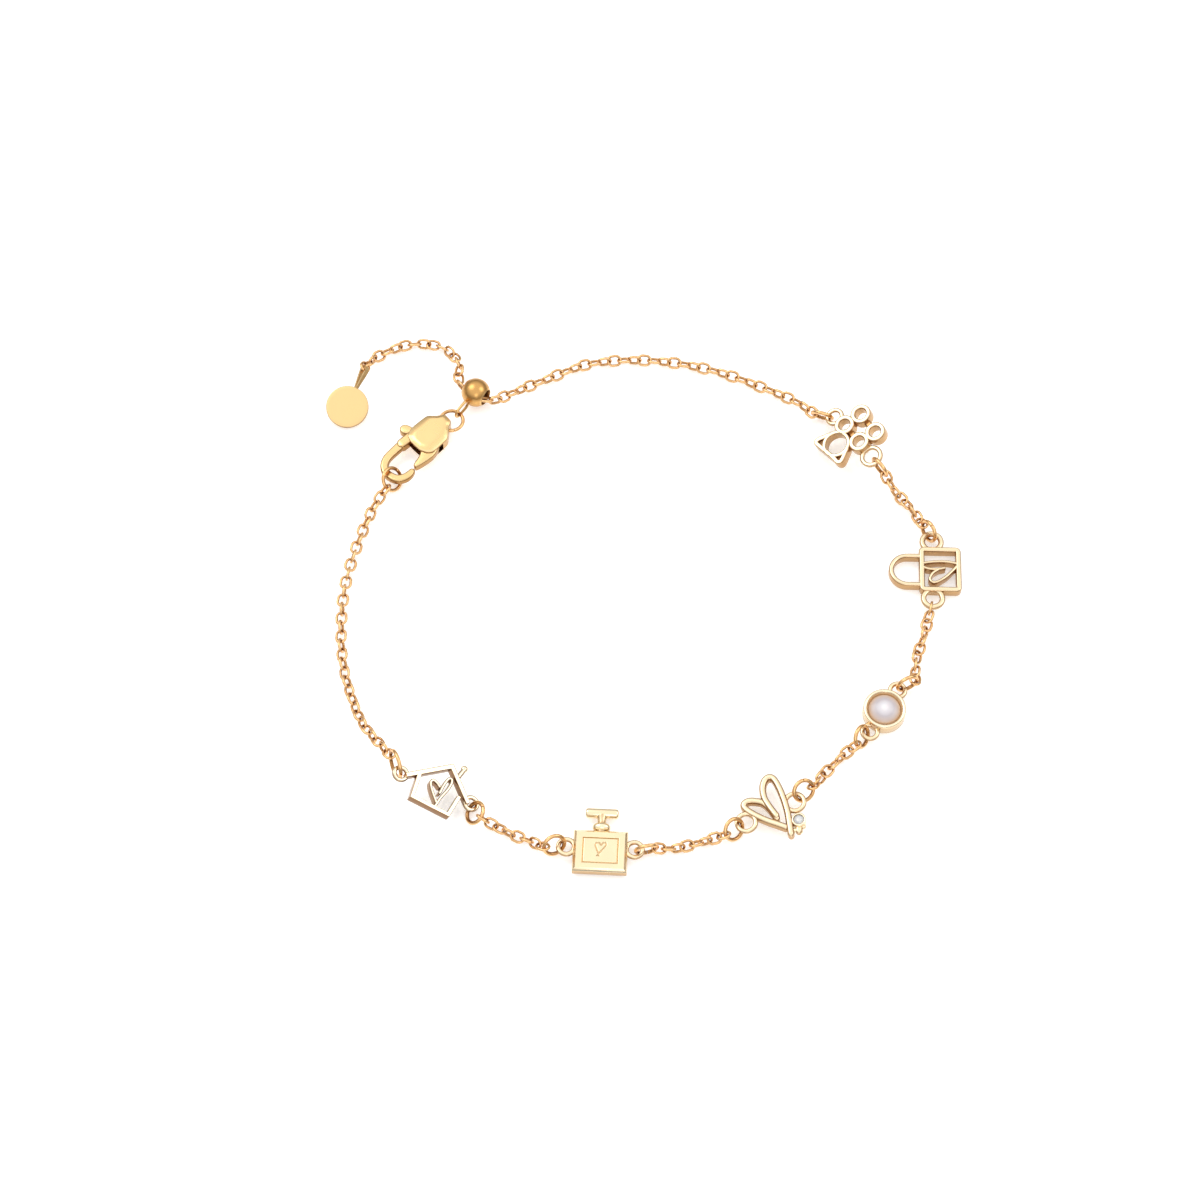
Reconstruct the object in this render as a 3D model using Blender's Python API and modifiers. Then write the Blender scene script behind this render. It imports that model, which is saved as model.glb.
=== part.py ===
"""Charm bracelet, lying on a table as an open loop.

A fine cable chain carries six flat charms. Each charm has a round eye at
either side, a jump ring in each eye, and a stretch of chain between it and
the next one. One end of the loop slides through a ball bead and ends in a
tag; the bead is held by a ring to a lobster clasp, whose hook takes the ring
at the other end. +Z is up, the table is z = 0, and the loop's middle is the
origin.
"""
import math

import bmesh
import bpy
import numpy as np
from mathutils import Matrix, Vector

MM = 0.001

# Chain links: oval rings of round wire
LINK_LONG = 1.72 * MM
LINK_WIDE = 1.48 * MM
LINK_WIRE = 0.28 * MM
LINK_SIDES = 10
LINK_WIRE_SIDES = 5
SOLDER_GAP = 0.03 * MM          # between two links' inner faces, filled by the joint
LINK_TURN = 60.0                # degrees from one link to the next, about the chain
END_LINK_SHOWS = 0.82           # of the end link's length, where a long chain is a tube

# Jump rings
RING_OUT = 2.85 * MM
RING_WIRE = 0.46 * MM
HOUSE_RING_OUT = 3.60 * MM
CLASP_RING_OUT = 3.15 * MM
HOOK_RING_OUT = 3.05 * MM
CLASP_RING_WIRE = 0.42 * MM
RING_SIDES = 12
RING_WIRE_SIDES = 6

CLEAR = 0.12 * MM               # between two loose pieces that hook or hold each other
FLOOR_GAP = 0.02 * MM
FACE_STEP = 0.02 * MM           # between the faces of two bars that are fused across each other
EYE_WIRE = 0.46 * MM
EYE_SINK = 1.1                  # of an eye's wire that is sunk in its wall

# Bottle charm
BOTTLE_WIDE = 6.05 * MM
BOTTLE_TALL = 5.00 * MM
BOTTLE_THICK = 1.50 * MM
BOTTLE_CHAMFER = 0.34 * MM
PANEL_WIDE = 4.05 * MM
PANEL_TALL = 3.15 * MM
PANEL_GROOVE = 0.20 * MM
PANEL_DEPTH = 0.14 * MM
STOPPER_LONG = 3.75 * MM
STOPPER_WIRE = 1.15 * MM
NECK_TALL = 2.25 * MM           # body's top edge to the stopper's middle
NECK_WIDE = 1.05 * MM
COLLAR_WIDE = 2.05 * MM
COLLAR_TALL = 1.00 * MM
COLLAR_RISE = 0.45 * MM         # body's top edge to the collar's middle
COLLAR_THICK = 1.41 * MM
STOPPER_CHAMFER = 0.16 * MM
BOTTLE_EYE_OUT = 2.30 * MM
BOTTLE_EYE_RISE = 0.45 * MM     # above the middle of the body
BOTTLE_EYE_SINK = 0.40 * MM     # of the eye, in the side wall
BOTTLE_EYE_LIFT = 0.20 * MM     # towards the face, from mid thickness

# House charm
HOUSE_SPAN = 8.00 * MM
HOUSE_THICK = 1.15 * MM
ROOF_WIDE = 0.52 * MM
WALL_WIDE = 0.42 * MM
HOUSE_STROKE = 0.30 * MM
CHIMNEY_WIDE = 0.60 * MM
HOUSE_EYE_OUT = 1.95 * MM
HOUSE_EYE_WIRE = 0.42 * MM
# Outlines as shares of the house's span, x along it and y up the walls
ROOF_LEFT = ((-0.411, 0.135), (0.214, 0.357))
ROOF_RIGHT = ((0.222, 0.360), (0.458, -0.120))
HOUSE_WALLS = ((-0.247, 0.165), (-0.339, -0.176), (0.192, -0.360), (0.339, -0.075))
CHIMNEY = ((0.325, 0.225), (0.425, 0.379))
HOUSE_HEART_LEFT = ((0.012, -0.205), (-0.059, -0.034), (-0.079, 0.072), (-0.042, 0.111),
                    (0.010, 0.079), (0.051, 0.030))
HOUSE_HEART_RIGHT = ((0.058, -0.061), (0.110, 0.060), (0.170, 0.158), (0.214, 0.172),
                     (0.226, 0.120), (0.169, 0.002), (0.075, -0.127), (0.000, -0.265))
HOUSE_EYE_LEFT = (-0.505, 0.150)
HOUSE_EYE_RIGHT = (0.535, -0.125)

# Heart charm
HEART_TALL = 7.10 * MM
HEART_THICK = 1.30 * MM
HEART_STROKE = 0.68 * MM
HEART_STEP = 0.16 * MM          # how far the left lobe lies below the right one
# Strokes as shares of the heart's height
HEART_RIGHT = ((0.049, -0.150), (-0.045, -0.005), (-0.120, 0.135), (-0.149, 0.276), (-0.142, 0.382),
               (-0.100, 0.472), (-0.041, 0.505), (0.018, 0.482), (0.076, 0.392), (0.132, 0.255),
               (0.189, 0.068), (0.231, -0.120), (0.255, -0.318), (0.272, -0.475))
HEART_LEFT = ((0.055, -0.185), (-0.060, -0.010), (-0.160, 0.085), (-0.292, 0.121), (-0.389, 0.121),
              (-0.449, 0.075), (-0.444, 0.020), (-0.379, -0.049), (-0.249, -0.138), (-0.085, -0.228),
              (0.059, -0.290), (0.190, -0.348))
HEART_EYE_OUT = 2.60 * MM
HEART_EYE_LIFT = 0.10 * MM
HEART_EYE_LEFT = (-0.420, -0.235)
HEART_EYE_RIGHT = (0.345, 0.068)
STONE_SEAT = (0.402, -0.250)
STONE_WIDE = 1.20 * MM          # the well that takes the stone
STONE_TALL = 0.60 * MM
STONE_GIRDLE = 0.52             # of its height, from the bottom
STONE_CROWN = 0.30              # of its height, from the girdle to the table
STONE_TABLE = 0.58              # of its width
STONE_TIP = 0.24
SEAT_TALL = 1.17 * MM
BEZEL_WALL = 0.20 * MM
SEAT_POST = 0.80 * MM
SEAT_POST_TALL = 0.90 * MM
SEAT_POST_PLACE = (-0.10 * MM, -1.15 * MM)  # from the stone's middle
SEAT_TIE_WIDE = 0.64 * MM
SEAT_TIE_TALL = 0.78 * MM

# Pearl charm
PEARL_BEZEL_WIDE = 4.85 * MM
PEARL_BEZEL_TALL = 1.80 * MM
PEARL_BEZEL_WALL = 0.36 * MM
PEARL_BEZEL_FLOOR = 0.40 * MM
PEARL_LIP = 0.20 * MM           # the pearl's top stands above the rim by this
PEARL_DOME = 0.62               # of the pearl's height, above its widest level
PEARL_EYE_OUT = 2.20 * MM
PEARL_EYE_ANGLES = (58.0, 236.0)

# Padlock charm
LOCK_WIDE = 4.85 * MM
LOCK_TALL = 5.85 * MM
LOCK_THICK = 1.30 * MM
LOCK_BAR = 0.52 * MM
LOCK_STROKE = 0.27 * MM
SHACKLE_WIDE = 4.30 * MM
SHACKLE_REACH = 3.50 * MM       # from the body's edge to the bow's outer edge
SHACKLE_BAR = 0.58 * MM
SHACKLE_SHIFT = -0.15 * MM      # along the body's side, from its middle
LOCK_EYE_OUT = 2.80 * MM
LOCK_EYE_WIRE = 0.56 * MM
LOCK_EYE_LIFT = 0.20 * MM
LOCK_EYE_SHIFT = 0.90 * MM      # the eyes sit this far towards the shackle
# Scribbled heart as shares of half the body's width and height
LOCK_HEART_UPPER = ((0.900, 0.250), (0.400, 0.340), (-0.100, 0.350), (-0.790, 0.265), (-0.850, 0.140),
                    (-0.620, 0.030), (-0.150, 0.000), (0.190, 0.060))
LOCK_HEART_LOWER = ((-0.120, -0.020), (-0.380, -0.190), (-0.500, -0.410), (-0.400, -0.570),
                    (-0.150, -0.560), (0.230, -0.350), (0.540, -0.090), (0.860, 0.230))

# Cluster charm: four small tubes and a larger ring with two pierced ears
CLUSTER_SPAN = 7.60 * MM
CLUSTER_THICK = 1.50 * MM
TUBE_WALL = 0.55 * MM
TUBE_WELD = 0.18 * MM           # how deep two neighbours run into each other
EARED_WALL = 0.39 * MM
EARED_WELD = 0.39 * MM
BRIDGE_WIDE = 0.90 * MM
CLUSTER_EYE_DROP = 0.15 * MM    # below mid thickness
BRIDGE_TALL = 0.90 * MM
BRIDGE_DROP = 0.20 * MM
# Places as shares of the cluster's span
TUBES = ((0.101, 0.233), (-0.170, 0.105), (0.310, -0.121), (0.043, -0.232))
EARED_RING = (-0.322, -0.193)
EAR_PLATE = ((-0.400, 0.010), (-0.660, 0.020), (-0.715, -0.040), (-0.690, -0.125), (-0.375, -0.500),
             (-0.310, -0.560), (-0.245, -0.525), (-0.160, -0.330))
EAR_HOLES = (((-0.650, -0.020), (-0.588, 0.005), (-0.590, -0.085)),
             ((-0.350, -0.450), (-0.262, -0.450), (-0.305, -0.505)))
# Neighbours touch, so a tube is as wide as the step between two of them and their weld
TUBE_OUT = CLUSTER_SPAN * math.dist(TUBES[0], TUBES[1]) + TUBE_WELD
TUBE_HOLE = TUBE_OUT - 2 * TUBE_WALL
EARED_OUT = 2 * (CLUSTER_SPAN * math.dist(TUBES[1], EARED_RING) + EARED_WELD) - TUBE_OUT
EARED_HOLE = EARED_OUT - 2 * EARED_WALL
# Each eye: the tube that it is soldered to, its heading from there, its width, and its lap
CLUSTER_EYE_OUT = 2.30 * MM     # left; the right one is larger
CLUSTER_WIDE_EYE_OUT = 2.75 * MM
CLUSTER_EYES = ((1, 128.5, CLUSTER_EYE_OUT, 0.24 * MM), (3, -57.7, CLUSTER_WIDE_EYE_OUT, 0.37 * MM))

# Tag
TAG_WIDE = 5.00 * MM
TAG_THICK = 0.50 * MM
BAIL_LONG = 3.20 * MM
BAIL_DEEP = 1.30 * MM
BAIL_WIDE = 0.46 * MM
BAIL_STRAP = 0.24 * MM
BAIL_ANGLE = 66.0               # where on the disc's edge, degrees from +X
BAIL_TWIST = 40.0
BAIL_ROOT = 0.55                # of its width where it is soldered on

# Slider bead
BEAD_WIDE = 3.40 * MM
BEAD_BORE = 1.90 * MM
BEAD_EYE_LONG = 2.60 * MM
BEAD_EYE_WIDE = 1.80 * MM
BEAD_EYE_WIRE = 0.34 * MM
BEAD_TO_CLASP = 232.0           # heading of the eye, degrees from +X
BEAD_BORE_HEADING = 149.0
BEAD_STRAIGHT = 0.55 * MM       # the chain runs on straight past the bead by this

# Lobster clasp, as shares of its length: x from tail to hook, y towards the gate
CLASP_LONG = 10.70 * MM
CLASP_THICK = 2.00 * MM
HOOK_THICK = 0.90 * MM
SHOULDER_THICK = 1.55 * MM      # where the hook grows out of the body
CLASP_ROUND = 0.22 * MM
CLASP_BODY = ((-0.470, -0.105), (-0.392, -0.145), (-0.308, -0.225), (-0.084, -0.218), (0.020, -0.172),
              (0.045, -0.085), (0.040, 0.060), (0.000, 0.140), (-0.060, 0.182), (-0.280, 0.160),
              (-0.350, 0.098), (-0.405, 0.045), (-0.462, 0.012))
CLASP_HOOK = ((-0.120, -0.225), (0.100, -0.200), (0.240, -0.185), (0.395, -0.160), (0.475, -0.100),
              (0.522, 0.000), (0.512, 0.140), (0.455, 0.215), (0.360, 0.240), (0.262, 0.235),
              (0.222, 0.200), (0.226, 0.156), (0.355, 0.150), (0.418, 0.130), (0.434, 0.030),
              (0.397, -0.049), (0.318, -0.089), (0.130, -0.094), (-0.080, -0.094))
CLASP_SHOULDER = ((-0.020, -0.212), (0.125, -0.196), (0.125, -0.092), (-0.020, -0.088))
CLASP_LEVER = ((0.196, 0.135), (0.203, 0.188), (0.090, 0.200), (-0.047, 0.204), (-0.180, 0.150),
               (-0.226, 0.045), (-0.210, -0.050), (-0.085, -0.190), (-0.085, -0.262), (-0.050, -0.310),
               (-0.005, -0.312), (0.025, -0.278), (0.020, -0.232), (-0.025, -0.195), (-0.040, -0.080),
               (0.000, 0.030), (0.060, 0.095))
CLASP_SLOT = ((0.120, 0.300), (-0.255, 0.300), (-0.255, -0.080), (-0.265, -0.330), (0.040, -0.330),
              (0.033, -0.175), (0.055, -0.090), (0.120, -0.080))
LEVER_THICK = 0.95 * MM
LEVER_PIVOT = (-0.150, 0.028)
PIVOT_PIN = 0.70 * MM
PIVOT_PLAY = 0.08 * MM
PIVOT_LONG = 1.60 * MM
TAIL_RING = (-0.492, -0.022)    # the tail ring's middle
TAIL_PLAY = 0.16 * MM
HOOK_BEND = (0.480, 0.111)      # the middle of the hook's bar, where the chain's ring hangs
HOOK_RING_PLACE = (56.1, -33.3, 52.5)  # heading from the clasp's, rise and roll, degrees

# Where each charm lies: x and y of its middle in mm, then how far its face leans
# towards +X and towards -Y and how far it is turned, in degrees. The house
# and the heart rest partly on their rings.
HOUSE_LIFT = 0.35 * MM
CLASP_LIFT = 0.20 * MM
HEART_LIFT = 0.30 * MM
LOOP_MIDDLE = (4.65, 0.165)
PLACES = {
    "bottle_charm": (0.02, -32.12, 0.0, 0.0, -2.8),
    "house_charm": (-18.30, -25.20, 21.0, 4.0, 0.0),
    "heart_charm": (19.15, -26.95, -7.0, 1.0, 0.0),
    "pearl_bezel": (32.00, -14.80, 0.0, 3.0, 0.0),
    "padlock_charm": (39.20, 3.40, 0.0, 0.0, -1.5),
    "cluster_charm": (30.12, 21.12, -22.0, 4.0, 0.0),
    "clasp_body": (-21.28, 19.72, 0.0, 0.0, 222.0),
}
TAG_PLACE = (-29.90, 25.40, 0.0, 20.0, 0.0)

# Jump rings: spot on the eye, then heading, rise and roll of the ring, in degrees
RING_PLACES = {
    "house_ring_left": (110.0, 120.0, -38.0, 14.0),
    "house_ring_right": (-76.0, -51.0, 27.0, -59.0),
    "bottle_ring_left": (184.0, 168.0, 48.0, 44.0),
    "bottle_ring_right": (-9.0, 3.0, 50.0, 10.0),
    "heart_ring_left": (213.0, 208.0, 22.0, 41.0),
    "heart_ring_right": (49.0, 55.0, 24.0, -46.0),
    "pearl_ring_left": (226.0, 209.0, 44.0, 41.0),
    "pearl_ring_right": (30.0, 28.0, 51.0, -6.0),
    "padlock_ring": (110.0, 61.0, 76.0, 61.0),
    "cluster_ring_right": (-55.0, -49.0, -26.0, 10.0),
    "cluster_ring_left": (168.0, 163.0, 1.0, -19.0),
}

# Chain routes: the few points that were chosen by hand, x, y and height in mm.
# The stretches between charms are a bow between their two rings, to the left
# of the way they run.
ROUTES = {
    "left_chain": ((-26.10, 12.30, 0.90), (-27.35, 9.20, 0.80), (-28.62, 4.88, 0.78),
                   (-29.37, 0.93, 0.78), (-29.57, -3.00, 0.78), (-29.40, -6.90, 0.78),
                   (-28.74, -10.70, 0.78), (-27.30, -15.00, 1.00), (-26.10, -17.40, 1.60)),
    "back_chain": ((23.20, 26.30, 0.80), (19.50, 28.20, 0.78), (14.30, 30.40, 0.78), (8.90, 31.75, 0.78),
                   (3.58, 32.15, 0.78), (-1.50, 31.55, 0.78), (-6.00, 29.60, 0.80), (-9.60, 27.80, 1.00)),
    "tail_chain": ((-16.75, 30.75, 1.55), (-17.35, 32.30, 1.15), (-18.60, 33.75, 0.78),
                   (-20.60, 34.45, 0.76), (-23.10, 34.30, 0.76), (-25.40, 33.35, 0.78),
                   (-27.00, 32.15, 0.95)),
}
BOWS = {
    "padlock_cluster_chain": -0.35 * MM,
    "pearl_padlock_chain": -0.20 * MM,
    "heart_pearl_chain": 0.10 * MM,
    "bottle_heart_chain": -0.45 * MM,
    "house_bottle_chain": -0.55 * MM,
}
CHAIN_HEIGHT = LINK_WIDE / 2 + FLOOR_GAP

CHAIN_GOLD = ("chain_gold", (0.80, 0.50, 0.25), 0.22)
CHARM_GOLD = ("charm_gold", (0.92, 0.78, 0.55), 0.24)
CLASP_GOLD = ("clasp_gold", (0.93, 0.70, 0.38), 0.20)


def clear_scene():
    """Remove what the opened file holds, so that each run starts empty."""
    for thing in list(bpy.data.objects):
        bpy.data.objects.remove(thing, do_unlink=True)


def collection(name):
    """A collection of this name, linked to the scene."""
    made = bpy.data.collections.new(name)
    bpy.context.scene.collection.children.link(made)
    return made


def material(name, colour, roughness, metallic=1.0):
    """A plain Principled material; one is made for each name."""
    if name in bpy.data.materials:
        return bpy.data.materials[name]
    made = bpy.data.materials.new(name)
    made.use_nodes = True
    shader = made.node_tree.nodes["Principled BSDF"]
    shader.inputs["Base Color"].default_value = (*colour, 1.0)
    shader.inputs["Roughness"].default_value = roughness
    shader.inputs["Metallic"].default_value = metallic
    return made


def take_mesh(thing):
    """The mesh an object evaluates to, in its place, welded; the object is removed."""
    bpy.context.view_layer.update()
    graph = bpy.context.evaluated_depsgraph_get()
    mesh = bpy.data.meshes.new_from_object(thing.evaluated_get(graph))
    mesh.transform(thing.matrix_world)
    bpy.data.objects.remove(thing, do_unlink=True)
    work = bmesh.new()
    work.from_mesh(mesh)
    bmesh.ops.remove_doubles(work, verts=work.verts, dist=1e-6)
    bmesh.ops.recalc_face_normals(work, faces=work.faces)
    work.to_mesh(mesh)
    work.free()
    return mesh


def tool(mesh, name="piece"):
    """An object for a mesh that is still to be fused or cut."""
    thing = bpy.data.objects.new(name, mesh)
    bpy.context.scene.collection.objects.link(thing)
    return thing


def fuse(pieces, cutters=()):
    """One mesh of triangles: the union of the pieces, less the cutters."""
    base = tool(pieces[0])
    tools = [(tool(mesh), "UNION") for mesh in pieces[1:]]
    tools += [(tool(mesh), "DIFFERENCE") for mesh in cutters]
    for other, operation in tools:
        step = base.modifiers.new(operation.lower(), "BOOLEAN")
        step.operation = operation
        step.solver = "EXACT"
        step.object = other
    mesh = take_mesh(base)
    for other, _ in tools:
        bpy.data.objects.remove(other, do_unlink=True)
    work = bmesh.new()
    work.from_mesh(mesh)
    bmesh.ops.dissolve_degenerate(work, edges=work.edges, dist=1e-6)
    bmesh.ops.triangulate(work, faces=work.faces)
    work.to_mesh(mesh)
    work.free()
    return mesh


def moved(mesh, matrix):
    """The mesh, put through a matrix."""
    mesh.transform(matrix)
    return mesh


def torus(outer, wire, sides=RING_SIDES, wire_sides=RING_WIRE_SIDES):
    """A ring of round wire about Z, named by its outer diameter and its wire."""
    bpy.ops.mesh.primitive_torus_add(major_radius=(outer - wire) / 2, minor_radius=wire / 2,
                                     major_segments=sides, minor_segments=wire_sides)
    return take_mesh(bpy.context.object)


def cylinder(wide, tall, sides=16):
    """A cylinder about Z, its middle at the origin."""
    bpy.ops.mesh.primitive_cylinder_add(radius=wide / 2, depth=tall, vertices=sides)
    return take_mesh(bpy.context.object)


def block(x, y, z, chamfer=0.0):
    """A box about the origin, its edges cut by a chamfer."""
    bpy.ops.mesh.primitive_cube_add(size=1.0)
    thing = bpy.context.object
    thing.data.transform(Matrix.Diagonal((x, y, z, 1.0)))
    if chamfer:
        edge = thing.modifiers.new("chamfer", "BEVEL")
        edge.width = chamfer
        edge.segments = 1
    return take_mesh(thing)


def slab(outlines, thick):
    """A flat outline, with any holes as further outlines, extruded about z = 0."""
    curve = bpy.data.curves.new("outline", "CURVE")
    curve.dimensions = "2D"
    curve.fill_mode = "BOTH"
    curve.extrude = thick / 2
    for outline in outlines:
        line = curve.splines.new("POLY")
        line.points.add(len(outline) - 1)
        for point, (x, y) in zip(line.points, outline):
            point.co = (x, y, 0.0, 1.0)
        line.use_cyclic_u = True
    return take_mesh(tool(curve))


def scaled(points, size):
    """Points given as shares of a size."""
    return [(x * size, y * size) for x, y in points]


def smooth_path(points, per_span):
    """A Catmull-Rom curve through the points, with per_span samples for each span."""
    knots = np.array(points, dtype=float)
    ends = np.vstack([2 * knots[0] - knots[1], knots, 2 * knots[-1] - knots[-2]])
    shares = np.linspace(0.0, 1.0, per_span, endpoint=False)[:, None]
    spans = []
    for before, start, end, after in zip(ends, ends[1:], ends[2:], ends[3:]):
        spans.append(0.5 * (2 * start + (end - before) * shares
                            + (2 * before - 5 * start + 4 * end - after) * shares ** 2
                            + (3 * start - before - 3 * end + after) * shares ** 3))
    return np.vstack(spans + [knots[-1:]])


def stroke(points, wide, thick, per_span=2, end_sides=3):
    """A flat bar with round ends that follows a smooth path."""
    path = smooth_path(points, per_span)
    along = np.gradient(path, axis=0)
    along /= np.linalg.norm(along, axis=1)[:, None]
    side = np.stack([-along[:, 1], along[:, 0]], axis=1) * wide / 2
    cap = [math.pi * i / (end_sides + 1) for i in range(1, end_sides + 1)]
    head = [path[-1] + side[-1] * math.cos(a) + along[-1] * wide / 2 * math.sin(a) for a in cap]
    foot = [path[0] - side[0] * math.cos(a) - along[0] * wide / 2 * math.sin(a) for a in cap]
    outline = list(path + side) + head + list((path - side)[::-1]) + foot
    return slab([outline], thick)


def bar(start, end, wide, thick):
    """A straight flat bar with square ends."""
    a, b = Vector(start), Vector(end)
    along = (b - a).normalized() * wide / 2
    side = Vector((-along.y, along.x))
    corners = (a - along + side, a - along - side, b + along - side, b + along + side)
    return slab([[tuple(corner) for corner in corners]], thick)


def pearl_eyes():
    """The middles of the pearl cup's two eyes, their wire sunk in its wall."""
    reach = PEARL_BEZEL_WIDE / 2 + PEARL_EYE_OUT / 2 - EYE_SINK * EYE_WIRE
    return [heading(angle) * reach for angle in PEARL_EYE_ANGLES]


def shift(x=0.0, y=0.0, z=0.0):
    """A translation."""
    return Matrix.Translation((x, y, z))


def turn(degrees, axis):
    """A rotation about one axis through the origin."""
    return Matrix.Rotation(math.radians(degrees), 4, axis)


def eye(x, y, outer, wire=EYE_WIRE, z=0.0):
    """A charm's round eye, lying in the charm's own plane."""
    return moved(torus(outer, wire), shift(x, y, z))


class Loop:
    """A ring that something can hook into: an eye, a jump ring or a hook's bend."""

    def __init__(self, centre, normal, outer, wire):
        self.centre = Vector(centre)
        self.normal = Vector(normal).normalized()
        self.radius = (outer - wire) / 2
        self.wire = wire

    def hooked(self, side, leaving, other_wire):
        """Where the middle of a wire that hooks this loop at one side passes inside it.

        The hooking wire's own ring goes off in the leaving direction.
        """
        flat = (side - self.normal * side.dot(self.normal)).normalized()
        back = self.wire / 2 + other_wire / 2 + CLEAR
        return self.centre + flat * self.radius - leaving.normalized() * back

    def wire_direction(self, towards):
        """The way this loop's wire runs at that side."""
        return self.normal.cross(Vector(towards)).normalized()


def heading(degrees, rise=0.0):
    """A unit vector from its heading about Z and its rise above the table."""
    a, b = math.radians(degrees), math.radians(rise)
    return Vector((math.cos(a) * math.cos(b), math.sin(a) * math.cos(b), math.sin(b)))


class Bracelet:
    """Collects the pieces: each is one named object under the bracelet's empty."""

    def __init__(self):
        self.pieces = collection("charm_bracelet")
        self.root = bpy.data.objects.new("bracelet", None)
        self.root.location = (-LOOP_MIDDLE[0] * MM, -LOOP_MIDDLE[1] * MM, 0.0)
        self.pieces.objects.link(self.root)

    def add(self, name, mesh, look, matrix=None, smooth=35.0):
        """Make a node of a mesh, with its own material."""
        mesh.name = name
        mesh.materials.clear()
        mesh.materials.append(material(*look))
        mesh.shade_smooth()
        mesh.set_sharp_from_angle(angle=math.radians(smooth))
        thing = bpy.data.objects.new(name, mesh)
        self.pieces.objects.link(thing)
        thing.parent = self.root
        if matrix is not None:
            thing.matrix_local = matrix
        return thing

    def lay(self, name, mesh, look, place, lift=0.0):
        """Lay a piece by its place, its lowest point on the table or lifted from it."""
        x, y, lean_x, lean_y, turned = place
        lean = turn(lean_x, "Y") @ turn(lean_y, "X") @ turn(turned, "Z")
        height = lift + FLOOR_GAP - min((lean @ v.co).z for v in mesh.vertices)
        matrix = shift(x * MM, y * MM, height) @ lean
        self.add(name, mesh, look, matrix)
        return matrix


def loop_of(matrix, x, y, outer, wire=EYE_WIRE, z=0.0):
    """The Loop of an eye at x, y in a charm that lies at this matrix."""
    return Loop(matrix @ Vector((x, y, z)), matrix.to_3x3() @ Vector((0, 0, 1)), outer, wire)


def jump_ring(bracelet, name, held_by, outer=RING_OUT, wire=RING_WIRE):
    """A jump ring through an eye, at the spot, heading, rise and roll of its row."""
    spot, way, rise, roll = RING_PLACES[name]
    out = heading(way, rise)
    centre = held_by.hooked(heading(spot), out, wire) + out * (outer - wire) / 2
    return lay_ring(bracelet, name, centre, way, rise, roll, outer, wire)


def lay_ring(bracelet, name, centre, way, rise, roll, outer, wire):
    """A ring of wire about this centre; the roll turns it about its heading."""
    out = heading(way, rise)
    normal = Matrix.Rotation(math.radians(roll), 3, out) @ heading(way + 90.0)
    frame = Matrix((out, normal.cross(out), normal)).transposed().to_4x4()
    bracelet.add(name, torus(outer, wire), CHAIN_GOLD, Matrix.Translation(centre) @ frame)
    return Loop(centre, normal, outer, wire)


def link_mesh():
    """One chain link in its own frame: long along X, flat in the XY plane."""
    ring = torus(LINK_WIDE, LINK_WIRE, LINK_SIDES, LINK_WIRE_SIDES)
    ring.transform(turn(180.0 / LINK_SIDES, "Z"))
    reach = LINK_LONG / 2 - max(v.co.x for v in ring.vertices)
    for v in ring.vertices:
        v.co.x += math.copysign(reach, v.co.x)
    return ring


def inner_end(face, side):
    """True for the face of a link that looks inwards from the end at this side."""
    return face.normal.x * side < -0.99 and face.calc_center_median().x * side > 0


def chain_mesh(centres, normals):
    """Links along the centres, each fused to the next by a short solder joint."""
    template = link_mesh()
    work = bmesh.new()
    ends = []
    count = len(centres)
    ways = np.gradient(np.array(centres), axis=0)
    for i in range(count):
        part = bmesh.new()
        part.from_mesh(template)
        part.faces.ensure_lookup_table()
        part.normal_update()
        head = [face.index for face in part.faces if inner_end(face, 1)][0]
        tail = [face.index for face in part.faces if inner_end(face, -1)][0]
        part.free()
        way = Vector(ways[i]).normalized()
        normal = (normals[i] - way * normals[i].dot(way)).normalized()
        frame = Matrix((way, normal.cross(way), normal)).transposed().to_4x4()
        placed = template.copy()
        placed.transform(Matrix.Translation(centres[i]) @ frame)
        first = len(work.faces)
        work.from_mesh(placed)
        bpy.data.meshes.remove(placed)
        work.faces.ensure_lookup_table()
        ends.append((work.faces[first + tail], work.faces[first + head]))
    for (_, head), (tail, _) in zip(ends, ends[1:]):
        rim = list(head.edges) + list(tail.edges)
        bmesh.ops.delete(work, geom=[head, tail], context="FACES_ONLY")
        bmesh.ops.bridge_loops(work, edges=rim)
    bmesh.ops.recalc_face_normals(work, faces=work.faces)
    mesh = bpy.data.meshes.new("chain")
    work.to_mesh(mesh)
    work.free()
    return mesh


def inner_half():
    """Half the distance between the inner faces of a link's two ends."""
    link = link_mesh()
    return min(v.co.x for v in link.vertices if v.co.x > 0 and abs(v.co.y) < LINK_WIDE / 5)


def along_route(route, distances):
    """Points at these distances along a dense route."""
    steps = np.concatenate([[0.0], np.cumsum(np.linalg.norm(np.diff(route, axis=0), axis=1))])
    return np.stack([np.interp(distances, steps, route[:, k]) for k in range(3)], axis=1), steps[-1]


def roll_of(direction, way):
    """The roll of a link whose normal lies along this direction, as seen along the way."""
    side = Vector((0, 0, 1)).cross(way).normalized()
    up = way.cross(side)
    return math.degrees(math.atan2(direction.dot(side), direction.dot(up)))


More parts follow.
